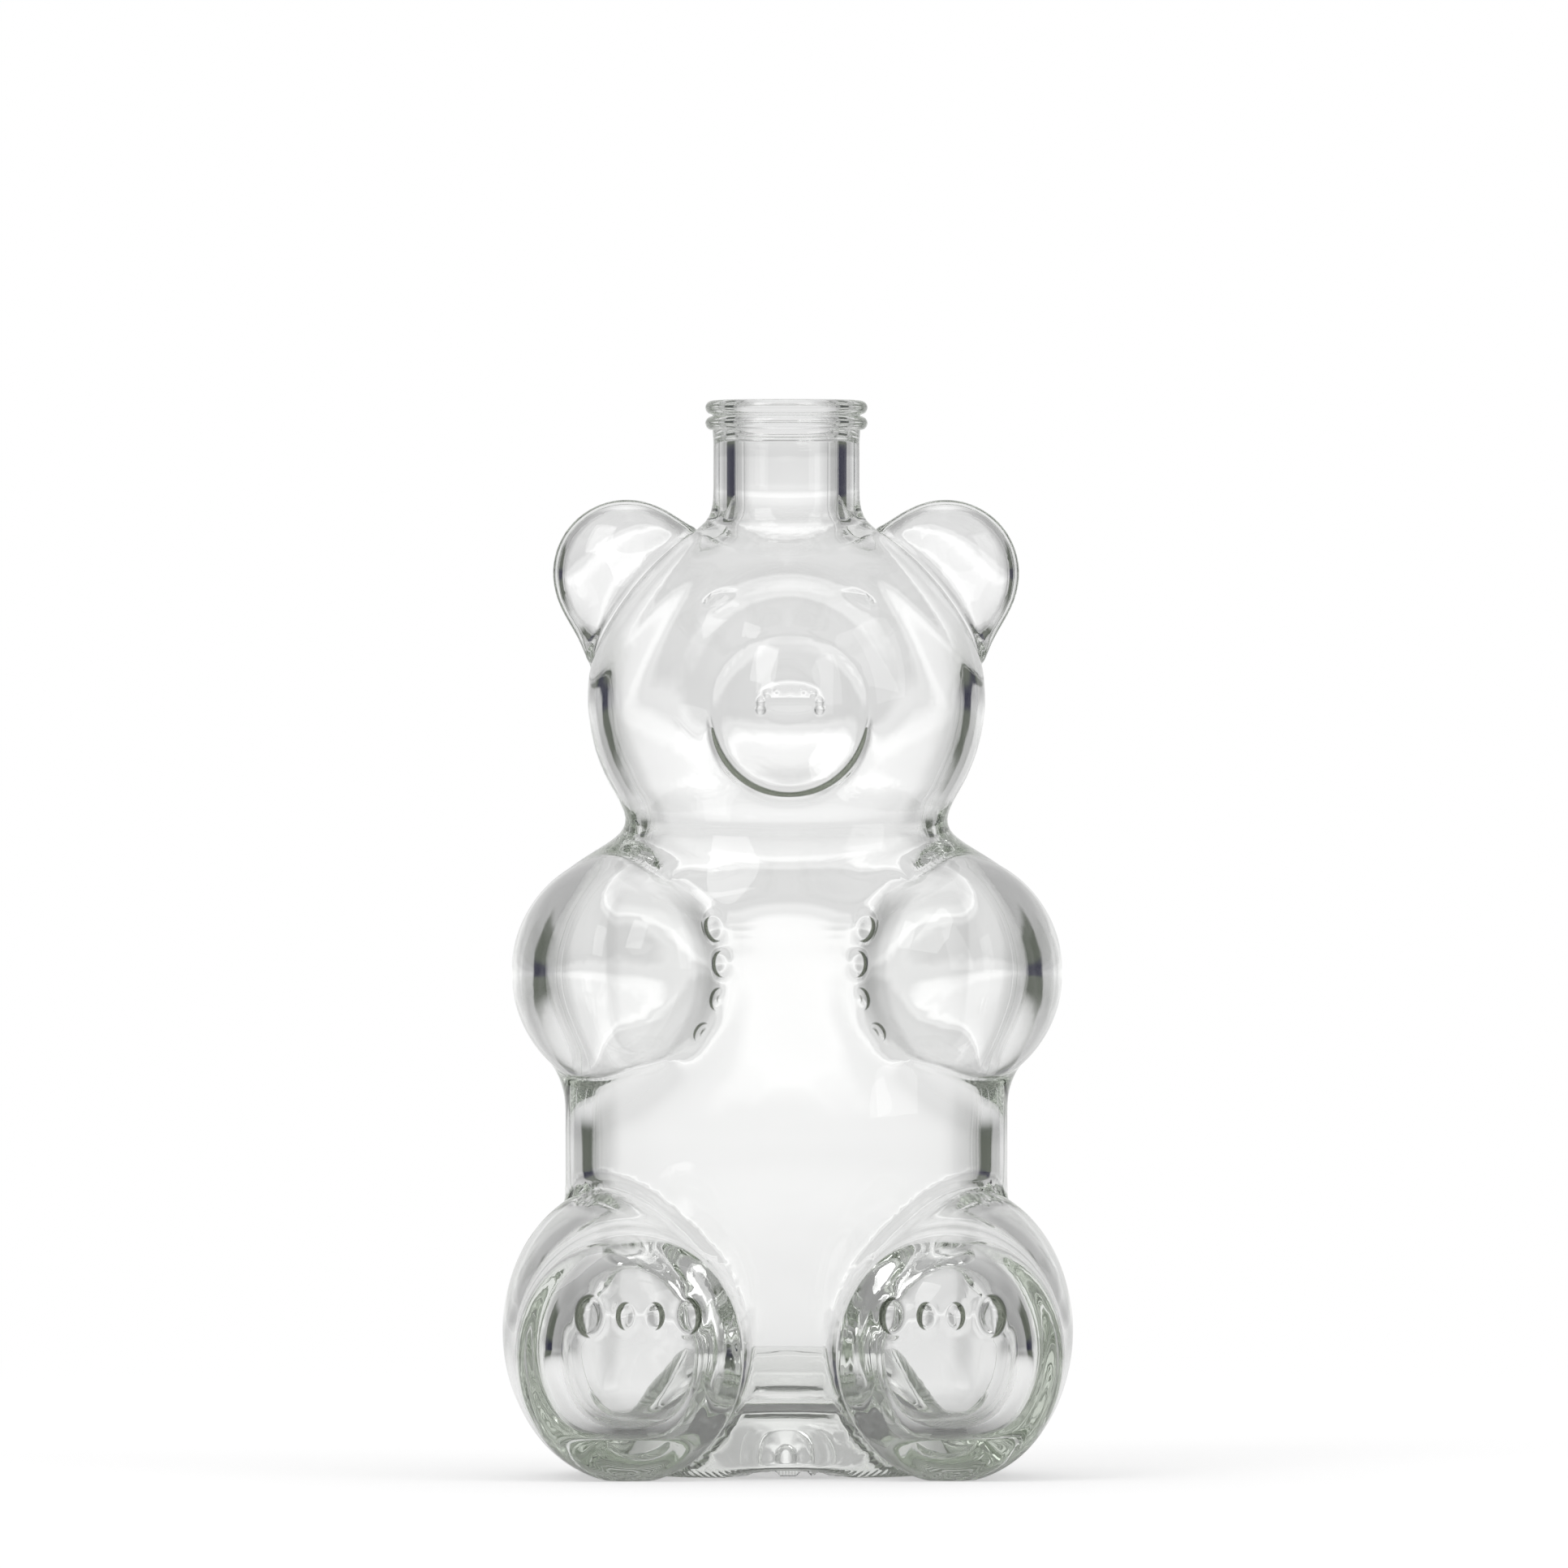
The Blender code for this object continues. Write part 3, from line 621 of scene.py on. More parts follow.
    def hollow(self, points: Array, blend: float) -> Array:
        """Distance from each point to the hollow of the body, its forms melted by the blend."""
        aside = mirrored(points)
        inner = self.torso().thinned(self.wall)
        found = replace(inner, far_edge=self.edge_radius - self.wall).field(points)
        for form in (self.collar(), self.belly()):
            found = joined(found, form.thinned(self.wall).field(points), blend)
        upper, _ = self.arm(Side.LEFT_HAND)
        found = joined(found, upper.thinned(self.arm_wall).field(aside), self.arm_hollow_blend)
        for form in self.foot(Side.LEFT_HAND):
            found = joined(found, form.thinned(self.foot_wall).field(aside), self.foot_hollow_blend)
        return found

    def forms(self, skin: Skin) -> list[Form]:
        """The plain forms that the body's skin starts from."""
        trunk = [self.torso(), self.collar(), self.belly()]
        arms = [*self.arm(Side.RIGHT_HAND), *self.arm(Side.LEFT_HAND)]
        feet = [*self.foot(Side.RIGHT_HAND), *self.foot(Side.LEFT_HAND)]
        if skin is Skin.OUTSIDE:
            return trunk + arms + feet
        hollow = [form.thinned(self.wall) for form in trunk]
        hollow += [form.thinned(self.arm_wall) for form in arms]
        return hollow + [form.thinned(self.foot_wall) for form in feet]

    def bumps(self) -> list[Bump]:
        """The small bumps that need finer facets, those at +X only."""
        return [*self.fingers(), *self.toes()]


@dataclass(frozen=True)
class Base:
    """The foot of the bottle: the push-up in its middle and the thickness of its floor."""

    punt_half: Size = (0.0148, 0.0132, 0.0093)
    punt_edge_radius: float = 0.0088
    punt_blend: float = 0.0025
    punt_wall: float = 0.0095
    floor_wall: float = 0.0055
    floor_blend: float = 0.005

    def punt(self) -> Drum:
        """The round-topped drum that pushes the base up."""
        return Drum((0.0, 0.0, 0.0), *self.punt_half, self.punt_edge_radius)

    def outer(self, found: Array, points: Array) -> Array:
        """The outside with the push-up taken out and the bearing surface cut flat."""
        found = common(found, -self.punt().field(points), self.punt_blend)
        return np.maximum(found, -points[..., 2])

    def hollow(self, found: Array, points: Array) -> Array:
        """The hollow, held off the bearing surface and off the push-up."""
        found = common(found, self.floor_wall - points[..., 2], self.floor_blend)
        return common(found, self.punt_wall - self.punt().field(points), self.floor_blend)


@dataclass(frozen=True)
class Mouth:
    """The neck and its beaded lip, turned round the bottle's axis."""

    top: float
    root: float
    radius: float = 0.0108
    bore_radius: float = 0.00775
    neck_blend: float = 0.0055
    bead_reach: float = 0.0012
    bead_height: float = 0.0021
    bead_gap: float = 0.0002
    lip_round: float = 0.0006
    cut_below_lip: float = 0.0085
    segments: int = 120
    arc_steps: int = 12

    def cut(self) -> float:
        """The height at which the turned mouth takes over from the skins."""
        return self.top - self.cut_below_lip

    def stem(self, radius: float) -> Drum:
        """An upright drum from the root of the neck to its top."""
        middle = (0.0, 0.0, (self.root + self.top) / 2.0)
        return Drum(middle, radius, radius, (self.top - self.root) / 2.0)

    def arc(self, middle: Size, radius: float, start: float, turn: float) -> list[Vector]:
        """Points on an arc from +X towards +Z, by its start and its turn in degrees."""
        angles = np.radians(np.linspace(start, start + turn, self.arc_steps + 1))
        return [Vector(middle) + radius * Vector((math.cos(a), 0.0, math.sin(a))) for a in angles]

    def outline(self) -> list[Vector]:
        """The mouth's profile, from the outside of the neck over the lip into the bore."""
        half = self.bead_height / 2.0
        reach = self.radius + self.bead_reach - half
        high = self.top - half
        low = high - self.bead_height - self.bead_gap
        start = self.cut() + self.bead_height
        inner = self.bore_radius + self.lip_round
        points = [Vector((self.radius, 0.0, start))]
        for middle in (low, high):
            points += self.arc((reach, 0.0, middle), half, -90.0, 180.0)
        points += self.arc((inner, 0.0, self.top - self.lip_round), self.lip_round, 90.0, 90.0)
        points.append(Vector((self.bore_radius, 0.0, start)))
        return points

    def turn(self, bm: bmesh.types.BMesh) -> None:
        """Spins the profile round the axis in the bmesh, open at its two lower ends."""
        points = [bm.verts.new(place) for place in self.outline()]
        edges = [bm.edges.new(pair) for pair in zip(points, points[1:])]
        bmesh.ops.spin(
            bm, geom=points + edges, cent=(0.0, 0.0, 0.0), axis=(0.0, 0.0, 1.0),
            angle=math.tau, steps=self.segments, use_merge=True,
        )
        bmesh.ops.remove_doubles(bm, verts=bm.verts, dist=SAME_POINT)

    def bridge(self, bm: bmesh.types.BMesh, skin: Skin) -> None:
        """Bridges the two open rims on one side of the wall.

        Args:
            bm: The bmesh that holds the skins and the turned mouth.
            skin: The side of the wall to close.
        """
        middle = (self.radius + self.bore_radius) / 2.0
        rims = []
        for edge in bm.edges:
            if edge.is_boundary:
                reach = (edge.verts[0].co.xy.length + edge.verts[1].co.xy.length) / 2.0
                if (reach < middle) == (skin is Skin.HOLLOW):
                    rims.append(edge)
        bmesh.ops.bridge_loops(bm, edges=rims)


@dataclass(frozen=True)
class Fineness:
    """How fine one skin is made.

    Attributes:
        voxel: Size of its facets.
        detail_reaches: How near a crease or small bump facets are halved, and halved again.
        longest_edge: Longest edge that is left, in voxels.
        step: Step over which the slope of a form is measured.
        settle_rounds: How often points move along the slope until they are taken as settled.
        relax_rounds: How often the points are evened out.
        least_steepness: Least square of the slope, so that no point jumps.
        shortest_edge: Shortest edge of the rim at the neck.
    """

    voxel: float
    detail_reaches: tuple[float, ...] = (0.0014, 0.0008)
    longest_edge: float = 2.2
    step: float = 0.00002
    settle_rounds: int = 2
    relax_rounds: int = 4
    least_steepness: float = 0.25
    shortest_edge: float = 0.00035


@dataclass(frozen=True)
class GlassFinish:
    """Clear moulded glass: its refraction, its tint, the marks that the mould left, and painted shade.

    Attributes:
        refraction: Index of refraction.
        tint: Colour that thick glass takes.
        tint_density: Strength of the tint per metre.
        clear: Colour that the surface passes on.
        flank: Painted shade, the dark colour put on the steep flanks of small bumps and along the crease
            under the muzzle.
        ripple_scale: Ripples per metre, from the cooled mould.
        ripple_height: Height of the ripples in metres.
        gloss: Lowest and highest roughness, from handling.
        scuff: Roughness that the table adds to the bearing surface.
    """

    refraction: float = 1.5
    tint: Colour = (0.7, 0.755, 0.665, 1.0)
    tint_density: float = 8.0
    clear: Colour = (1.0, 1.0, 1.0, 1.0)
    flank: Colour = (0.05, 0.06, 0.04, 1.0)
    ripple_scale: float = 45.0
    ripple_height: float = 0.00012
    gloss: Span = (0.0, 0.02)
    scuff: float = 0.35

    def material(self, shades: list[Shade], line: tuple[Lobe, Lobe], move: float) -> bpy.types.Material:
        """Builds the glass.

        Args:
            shades: Where painted shade darkens the steep flanks of the small bumps, those at +X.
            line: The two lobes whose crease under the first one gets a line of painted shade.
            move: How far the glass stands back from the place that its forms have.

        Returns:
            The material, with its ripples, seam and ridges as a bump.
        """
        made = bpy.data.materials.new("clear_glass_moulded")
        made.use_nodes = True
        tree = made.node_tree
        place = add_node(tree, "TexCoord").outputs["Object"]

        values = {
            "Place": place, "Ripple Scale": self.ripple_scale, "Ripple Height": self.ripple_height,
        }
        marks = add_node(tree, "Group", values, node_tree=mould_marks_group())
        values = {"Strength": 1.0, "Distance": 1.0, "Height": marks.outputs["Height"]}
        bump = add_node(tree, "Bump", values)
        # Painted shade: the base colour darkened on the flanks of small bumps and under the muzzle
        values = {"Place": place, "Clear": self.clear, "Dark": self.flank}
        dark = add_node(tree, "Group", values, node_tree=painted_shade_group(shades, line, move))
        cleanest, dullest = self.gloss
        values = {"Place": place, "Cleanest": cleanest, "Dullest": dullest, "Scuff": self.scuff}
        wear = add_node(tree, "Group", values, node_tree=handling_group())

        fill(tree, tree.nodes["Principled BSDF"], {
            "Base Color": dark.outputs["Tint"],
            "Roughness": wear.outputs["Roughness"],
            "IOR": self.refraction,
            "Transmission Weight": 1.0,
            "Normal": bump.outputs["Normal"],
        })
        values = {"Color": self.tint, "Density": self.tint_density}
        depth = add_node(tree, "VolumeAbsorption", values)
        fill(tree, tree.nodes["Material Output"], {"Volume": depth.outputs["Volume"]})
        return made


def fill(tree: Tree, node: bpy.types.Node, values: Inputs) -> None:
    """Sets inputs of a node.

    Args:
        tree: The node tree that holds it.
        node: The node.
        values: A value, or the output to link, by each input's name or number.
    """
    for name, value in values.items():
        if isinstance(value, Socket):
            tree.links.new(value, node.inputs[name])
        else:
            node.inputs[name].default_value = value


def add_node(tree: Tree, kind: str, values: Inputs | None = None, **settings: object) -> bpy.types.Node:
    """Adds a shader node.

    Args:
        tree: The node tree that takes it.
        kind: Its type, less the ShaderNode in front.
        values: Its inputs, as fill takes them.
        settings: Its settings by name.

    Returns:
        The node.
    """
    node = tree.nodes.new(f"ShaderNode{kind}")
    for name, setting in settings.items():
        setattr(node, name, setting)
    fill(tree, node, values or {})
    return node


def add_math(tree: Tree, kind: str, *values: object) -> Socket:
    """Adds a Math node with its inputs in order, and gives its output."""
    return add_node(tree, "Math", dict(enumerate(values)), operation=kind).outputs[0]


def add_vector_math(tree: Tree, kind: str, *values: object) -> Sockets:
    """Adds a Vector Math node with its inputs in order, and gives its outputs."""
    return add_node(tree, "VectorMath", dict(enumerate(values)), operation=kind).outputs


def add_fade(tree: Tree, value: object, reach: Span, start: float, end: float) -> Socket:
    """Adds a smooth fade from start to end over the reach of the value, and gives its output."""
    values = {"Value": value, "From Min": reach[0], "From Max": reach[1], "To Min": start, "To Max": end}
    return add_node(tree, "MapRange", values, interpolation_type="SMOOTHSTEP").outputs["Result"]


def add_noise(tree: Tree, place: object, scale: object, detail: float) -> Socket:
    """Adds a Noise Texture node that reads a place, and gives its output."""
    values = {"Vector": place, "Scale": scale, "Detail": detail}
    return add_node(tree, "TexNoise", values).outputs[0]


def add_mix(tree: Tree, factor: object, first: object, second: object) -> Socket:
    """Adds a mix of two colours, where the factor is the second one's share."""
    values = {"Factor": factor, "A": first, "B": second}
    return add_node(tree, "Mix", values, data_type="RGBA").outputs["Result"]


def add_parts(tree: Tree, place: object) -> Sockets:
    """Adds a node that splits a place, and gives its outputs X, Y and Z."""
    return add_node(tree, "SeparateXYZ", {0: place}).outputs


def add_reach(tree: Tree, place: object, at: Size, half: Size) -> Socket:
    """Adds the distance of a place from a ball's middle, which is 1 on the ball's surface.

    Args:
        tree: The node tree that takes it.
        place: The output that gives the place.
        at: The ball's middle.
        half: Its half sizes.

    Returns:
        The distance.
    """
    away = add_vector_math(tree, "SUBTRACT", place, at)
    scaled = add_vector_math(tree, "DIVIDE", away["Vector"], half)
    return add_vector_math(tree, "LENGTH", scaled["Vector"])["Value"]


def add_ramp(tree: Tree, value: object, stops: Spans) -> Socket:
    """Adds a smooth grey ramp over a range of values.

    Args:
        tree: The node tree that takes it.
        value: The output that it reads.
        stops: The stops in order, each a value and its brightness.

    Returns:
        The ramp's brightness.
    """
    low = stops[0][0]
    high = stops[-1][0]
    spread = add_node(tree, "MapRange", {"Value": value, "From Min": low, "From Max": high})
    node = add_node(tree, "ValToRGB", {"Fac": spread.outputs["Result"]})
    node.color_ramp.interpolation = "EASE"
    elements = node.color_ramp.elements
    while len(elements) < len(stops):
        elements.new(0.5)
    for element, (where, light) in zip(elements, stops):
        element.position = (where - low) / (high - low)
        element.color = (light, light, light, 1.0)
    return node.outputs["Color"]


def node_group(name: str, takes: dict[str, str], gives: dict[str, str]) -> Tree:
    """Makes an empty shader node group.

    Args:
        name: Its name.
        takes: Its inputs, each with the kind of its socket.
        gives: Its outputs, each with the kind of its socket.

    Returns:
        The group, with its input and output nodes in place.
    """
    group = bpy.data.node_groups.new(name, "ShaderNodeTree")
    for names, way in ((takes, "INPUT"), (gives, "OUTPUT")):
        for socket, kind in names.items():
            group.interface.new_socket(socket, in_out=way, socket_type=f"NodeSocket{kind}")
    group.nodes.new("NodeGroupInput")
    group.nodes.new("NodeGroupOutput")
    return group


def mould_marks_group() -> Tree:
    """Builds the group that gives the height of the marks which the mould left on the glass.

    Returns:
        The group: soft ripples all over, the seam between the mould halves, and fine ridges
        round the bearing surface.
    """
    takes = {"Place": "Vector", "Ripple Scale": "Float", "Ripple Height": "Float"}
    group = node_group("mould_marks", takes, {"Height": "Float"})
    given = group.nodes["Group Input"].outputs
    ripple = add_noise(group, given["Place"], given["Ripple Scale"], RIPPLE_DETAIL)
    height = add_math(group, "MULTIPLY", ripple, given["Ripple Height"])

    place = add_parts(group, given["Place"])
    turn = add_math(group, "ARCTAN2", place["X"], place["Y"])
    ridges = add_math(group, "SINE", add_math(group, "MULTIPLY", turn, RIDGES_IN_RADIAN))
    near_floor = add_fade(group, place["Z"], RIDGE_REACH, RIDGE_HEIGHT, 0.0)
    ridges = add_math(group, "MULTIPLY", ridges, near_floor)

    off_seam = add_math(group, "ABSOLUTE", add_math(group, "SUBTRACT", place["Y"], SEAM_BACK))
    seam = add_fade(group, off_seam, SEAM_REACH, SEAM_HEIGHT, 0.0)
    total = add_math(group, "ADD", add_math(group, "ADD", height, ridges), seam)
    fill(group, group.nodes["Group Output"], {"Height": total})
    return group


def handling_group() -> Tree:
    """Builds the group that gives the roughness which handling left on the glass.

    Returns:
        The group: faint smears all over, and a scuffed bearing surface.
    """
    takes = {"Place": "Vector", "Cleanest": "Float", "Dullest": "Float", "Scuff": "Float"}
    group = node_group("handling_wear", takes, {"Roughness": "Float"})
    given = group.nodes["Group Input"].outputs
    smears = add_noise(group, given["Place"], SMEAR_SCALE, SMEAR_DETAIL)
    smeared = add_fade(group, smears, SMEAR_RANGE, 0.0, 1.0)
    spread = add_math(group, "SUBTRACT", given["Dullest"], given["Cleanest"])
    rough = add_math(group, "MULTIPLY_ADD", smeared, spread, given["Cleanest"])
    near_floor = add_fade(group, add_parts(group, given["Place"])["Z"], SCUFF_REACH, 1.0, 0.0)
    scuffed = add_math(group, "MULTIPLY_ADD", near_floor, given["Scuff"], rough)
    fill(group, group.nodes["Group Output"], {"Roughness": scuffed})
    return group


def painted_shade_group(shades: list[Shade], line: tuple[Lobe, Lobe], move: float) -> Tree:
    """Builds the group that paints shade on steep flanks and under the muzzle, on both sides of the
    bear.

    Args:
        shades: Where painted shade darkens the steep flanks of the small bumps, those at +X.
        line: The two lobes whose crease under the first one gets a line of painted shade.
        move: How far the glass stands back from the place that its forms have.

    Returns:
        The group.
    """
    takes = {"Place": "Vector", "Clear": "Color", "Dark": "Color"}
    group = node_group("painted_shade_flanks", takes, {"Tint": "Color"})
    given = group.nodes["Group Input"].outputs
    parts = add_parts(group, given["Place"])
    out = add_math(group, "ABSOLUTE", parts["X"])
    back = add_math(group, "SUBTRACT", parts["Y"], move)
    place = add_node(group, "CombineXYZ", {"X": out, "Y": back, "Z": parts["Z"]}).outputs["Vector"]

    # Painted shade along the crease under the muzzle
    gaps = []
    for lobe in line:
        reach = add_math(group, "SUBTRACT", add_reach(group, place, lobe.at, lobe.half), 1.0)
        gap = add_math(group, "MULTIPLY_ADD", reach, min(lobe.half), LINE_SINK)
        gaps.append(add_math(group, "MULTIPLY", gap, gap))
    near = add_math(group, "SQRT", add_math(group, "ADD", *gaps))
    thin = add_fade(group, near, LINE_REACH, 1.0, 0.0)
    height = line[0].at[2]
    under = add_fade(group, parts["Z"], (height - LINE_END, height + LINE_END), 1.0, 0.0)
    total = add_math(group, "MULTIPLY", thin, under)
    # Painted shade on the steep flank of each finger and toe
    for shade in shades:
        first = add_reach(group, place, shade.at, shade.half)
        second = add_reach(group, place, tuple(np.add(shade.at, shade.away)), shade.half)
        within = add_fade(group, first, SHADE_RIM, 1.0, 0.0)
        beyond = add_fade(group, second, SHADE_INNER_RIM, 0.0, 1.0)
        total = add_math(group, "MAXIMUM", total, add_math(group, "MULTIPLY", within, beyond))
    # Mixes the painted shade into the clear colour
    tint = add_mix(group, total, given["Clear"], given["Dark"])
    fill(group, group.nodes["Group Output"], {"Tint": tint})
    return group


def room_tone_group() -> Tree:
    """Builds the group that gives how bright the studio is in a direction.

    Returns:
        The group: a white wall behind the bottle, paler sides, and a dark panel on each side.
    """
    group = node_group("room_tone", {"Direction": "Vector"}, {"Tone": "Color"})
    parts = add_parts(group, group.nodes["Group Input"].outputs["Direction"])
    across = add_math(group, "ABSOLUTE", parts["X"])
    turn = add_math(group, "DEGREES", add_math(group, "ARCTAN2", across, parts["Y"]))
    rise = add_math(group, "DEGREES", add_math(group, "ARCSINE", parts["Z"]))
    walls = add_ramp(group, turn, ROOM_BY_TURN)
    heights = add_ramp(group, rise, ROOM_BY_RISE)
    open_room = add_math(group, "MULTIPLY", walls, heights)
    open_room = add_math(group, "MULTIPLY", open_room, ROOM_STRENGTH)
    panel_turn = add_ramp(group, turn, PANEL_BY_TURN)
    panel = add_math(group, "MULTIPLY", panel_turn, add_ramp(group, rise, PANEL_BY_RISE))
    edge = add_ramp(group, rise, PANEL_EDGE_BY_RISE)
    panel_colour = add_mix(group, edge, PANEL_COLOUR, PANEL_EDGE_COLOUR)
    tone = add_mix(group, panel, open_room, panel_colour)
    fill(group, group.nodes["Group Output"], {"Tone": tone})
    return group


@dataclass(frozen=True)
class Bottle:
    """The bottle: one wall of glass between an outer skin and a hollow, closed by the mouth."""

    head_rise_share: float = 0.737
    head_blend: float = 0.0035
    neck_stand: float = 0.0162
    neck_root_share: float = 0.7
    hollow_blend: float = 0.01
    head_hollow_blend: float = 0.0045
    hollow_settle: float = 0.001
    least_wall: float = 0.0012
    body: Body = Body()
    base: Base = Base()
    glass: GlassFinish = GlassFinish()
    outer_fineness: Fineness = Fineness(0.00108)
    hollow_fineness: Fineness = Fineness(0.0012)
    head: Head = field(init=False)
    mouth: Mouth = field(init=False)

    def __post_init__(self) -> None:
        """Sets the head on the body, and the mouth on the head."""
        head = Head(self.body.height + Head.half[2] * self.head_rise_share)
        top = head.height + head.half[2]
        root = head.height + head.half[2] * self.neck_root_share
        object.__setattr__(self, "head", head)
        object.__setattr__(self, "mouth", Mouth(top + self.neck_stand, root))

    def outer(self, points: Array) -> Array:
        """Distance from each point to the outside of the glass, negative within it."""
        neck = self.mouth.stem(self.mouth.radius).field(points)
        head = joined(self.head.outer(points), neck, self.mouth.neck_blend)
        bear = joined(head, self.body.outer(points), self.head_blend)
        return self.base.outer(bear, points)

    def hollow(self, points: Array) -> Array:
        """Distance from each point to the hollow, negative inside it."""
        bore = self.mouth.stem(self.mouth.bore_radius).field(points)
        head = joined(self.head.hollow(points, self.head_hollow_blend), bore, self.mouth.neck_blend)
        found = joined(head, self.body.hollow(points, self.hollow_blend), self.hollow_blend)
        found = self.base.hollow(found, points)
        return common(found, self.outer(points) + self.least_wall, self.hollow_settle)

    def bumps(self, points: Array) -> Array:
        """Distance from each point to the nearest small bump: nose, eyes, fingers or toes."""
        aside = mirrored(points)
        lobes = [*self.head.bumps(), *self.body.bumps()]
        return np.min([lobe.field(aside) for lobe in lobes], axis=0)

    def creases(self, points: Array) -> Array:
        """How far each point is from the second of the forms that meet in a crease."""
        aside = mirrored(points)
        trunk = np.minimum(self.body.torso().field(points), self.body.belly().field(points))
        _, root = self.head.ear(Side.LEFT_HAND)
        haunch, _ = self.body.foot(Side.LEFT_HAND)
        forms = (self.head.skull(), self.head.muzzle(), root, haunch)
        arm = np.min([lobe.field(aside) for lobe in self.body.arm(Side.LEFT_HAND)], axis=0)
        return np.sort([trunk, arm, *(form.field(aside) for form in forms)], axis=0)[1]

    def skin(self, side: Skin, fineness: Fineness) -> bmesh.types.BMesh:
        """Makes a closed skin over the forms.

        Args:
            side: The outside or the hollow.
            fineness: How fine to make it.

        Returns:
            A bmesh whose points lie on the smooth form.
        """
        outside = side is Skin.OUTSIDE
        form = self.outer if outside else self.hollow
        stem = self.mouth.stem(self.mouth.radius if outside else self.mouth.bore_radius)
        plain = bmesh.new()
        for lobe in [*self.head.forms(side), *self.body.forms(side), stem]:
            lobe.add_to(plain)
        made = remeshed(plain, fineness.voxel)
        relax(made, made.verts, form, fineness, fineness.relax_rounds)
        for reach in fineness.detail_reaches:
            middles = np.array([(edge.verts[0].co + edge.verts[1].co) / 2.0 for edge in made.edges])
            lengths = np.array([edge.calc_length() for edge in made.edges])
            wanted = lengths > fineness.voxel * fineness.longest_edge
            if outside:
                wanted |= np.minimum(self.creases(middles), self.bumps(middles)) < reach
            chosen = [edge for edge, is_wanted in zip(made.edges, wanted) if is_wanted]
            cut = bmesh.ops.subdivide_edges(made, edges=chosen, cuts=1, use_grid_fill=True)
            fresh = [item for item in cut["geom"] if isinstance(item, bmesh.types.BMVert)]
            relax(made, fresh, form, fineness, 1)
        self.open_at_neck(made, fineness)
        return made

    def open_at_neck(self, bm: bmesh.types.BMesh, fineness: Fineness) -> None:
        """Cuts the skin open where the turned mouth takes over.

        Args:
            bm: The skin.
            fineness: Its fineness, which gives the shortest edge of the rim.
        """
        bmesh.ops.bisect_plane(
            bm, geom=bm.verts[:] + bm.edges[:] + bm.faces[:],
            plane_co=(0.0, 0.0, self.mouth.cut()), plane_no=(0.0, 0.0, 1.0), clear_outer=True,
        )
        rim = [point for point in bm.verts if point.is_boundary]
        bmesh.ops.remove_doubles(bm, verts=rim, dist=fineness.shortest_edge)

    def wall(self) -> tuple[bpy.types.Mesh, float]:
        """Joins the two skins and the mouth into one wall of glass.

        Returns:
            The mesh, with its normals outwards, and how far it was moved along Y.
        """
        whole = bmesh.new()
        self.mouth.turn(whole)
        for side, fineness in (
            (Skin.OUTSIDE, self.outer_fineness), (Skin.HOLLOW, self.hollow_fineness)
        ):
            part = self.skin(side, fineness)
            LOG.info("%s skin: %d faces", side.value, len(part.faces))
            mesh = mesh_of(part, side.value)
            whole.from_mesh(mesh)
            bpy.data.meshes.remove(mesh)
        for side in Skin:
            self.mouth.bridge(whole, side)
        bmesh.ops.recalc_face_normals(whole, faces=whole.faces)
        low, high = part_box("glass_bottle")
        depths = [point.co.y for point in whole.verts]
        move = (low[1] + high[1]) / 2.0 - (min(depths) + max(depths)) / 2.0
        bmesh.ops.translate(whole, verts=whole.verts, vec=(0.0, move, 0.0))
        mesh = mesh_of(whole, "bear_bottle_glass")
        mesh.shade_smooth()
        return mesh, move

    def build(self) -> bpy.types.Object:
        """Builds and dresses the bottle.

        Returns:
            The piece that stands for the CAD solid.
        """
        mesh, move = self.wall()
        # Painted shade for the glass's colour: the flanks of fingers and toes, and the crease under the
        # muzzle
        shades = [bump.shade() for bump in self.body.bumps()]
        line = (self.head.muzzle(), self.head.skull())
        mesh.materials.append(self.glass.material(shades, line, move))
        piece = put_in_scene("bear_bottle_glass", mesh)
        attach(piece, "root")
        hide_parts("glass_bottle")
        return piece


def mesh_of(bm: bmesh.types.BMesh, name: str) -> bpy.types.Mesh:
    """Makes a mesh of the bmesh, which is freed."""
    mesh = bpy.data.meshes.new(name)
    bm.to_mesh(mesh)
    bm.free()
    return mesh


def put_in_scene(name: str, data: bpy.types.ID) -> bpy.types.Object:
    """Makes an object that carries the data, and puts it in the scene."""
    made = bpy.data.objects.new(name, data)
    bpy.context.scene.collection.objects.link(made)
    return made


def remeshed(plain: bmesh.types.BMesh, voxel: float) -> bmesh.types.BMesh:
    """Joins closed forms that overlap into one skin.

    Args:
        plain: The forms. The bmesh is freed.
        voxel: Size of the voxels.

    Returns:
        A new bmesh of even quads.
    """
    mesh = mesh_of(plain, "forms")
    carrier = put_in_scene("forms", mesh)
    modifier = carrier.modifiers.new("Remesh", "REMESH")
    modifier.mode = "VOXEL"
    modifier.voxel_size = voxel
    made = bmesh.new()
    made.from_mesh(carrier.evaluated_get(bpy.context.evaluated_depsgraph_get()).data)
    bpy.data.objects.remove(carrier)
    bpy.data.meshes.remove(mesh)
    return made


def settle(verts: Iterable[bmesh.types.BMVert], form: Field, fineness: Fineness) -> None:
    """Moves each point along the form's slope until it lies on the form.

    Args:
        verts: The points of the skin to move.
        form: The distance field of the form.
        fineness: The step for slopes, and how often to move.
    """
    places = np.array([point.co for point in verts]).reshape(-1, 3)
    for _ in range(fineness.settle_rounds):
        value = form(places)
        slope = np.empty_like(places)
        for axis in range(3):
            step = np.zeros(3)
            step[axis] = fineness.step
            slope[:, axis] = (form(places + step) - value) / fineness.step
        steepness = np.maximum((slope**2).sum(axis=-1), fineness.least_steepness)
        places -= slope * (value / steepness)[:, None]
    for point, place in zip(verts, places):
        point.co = place


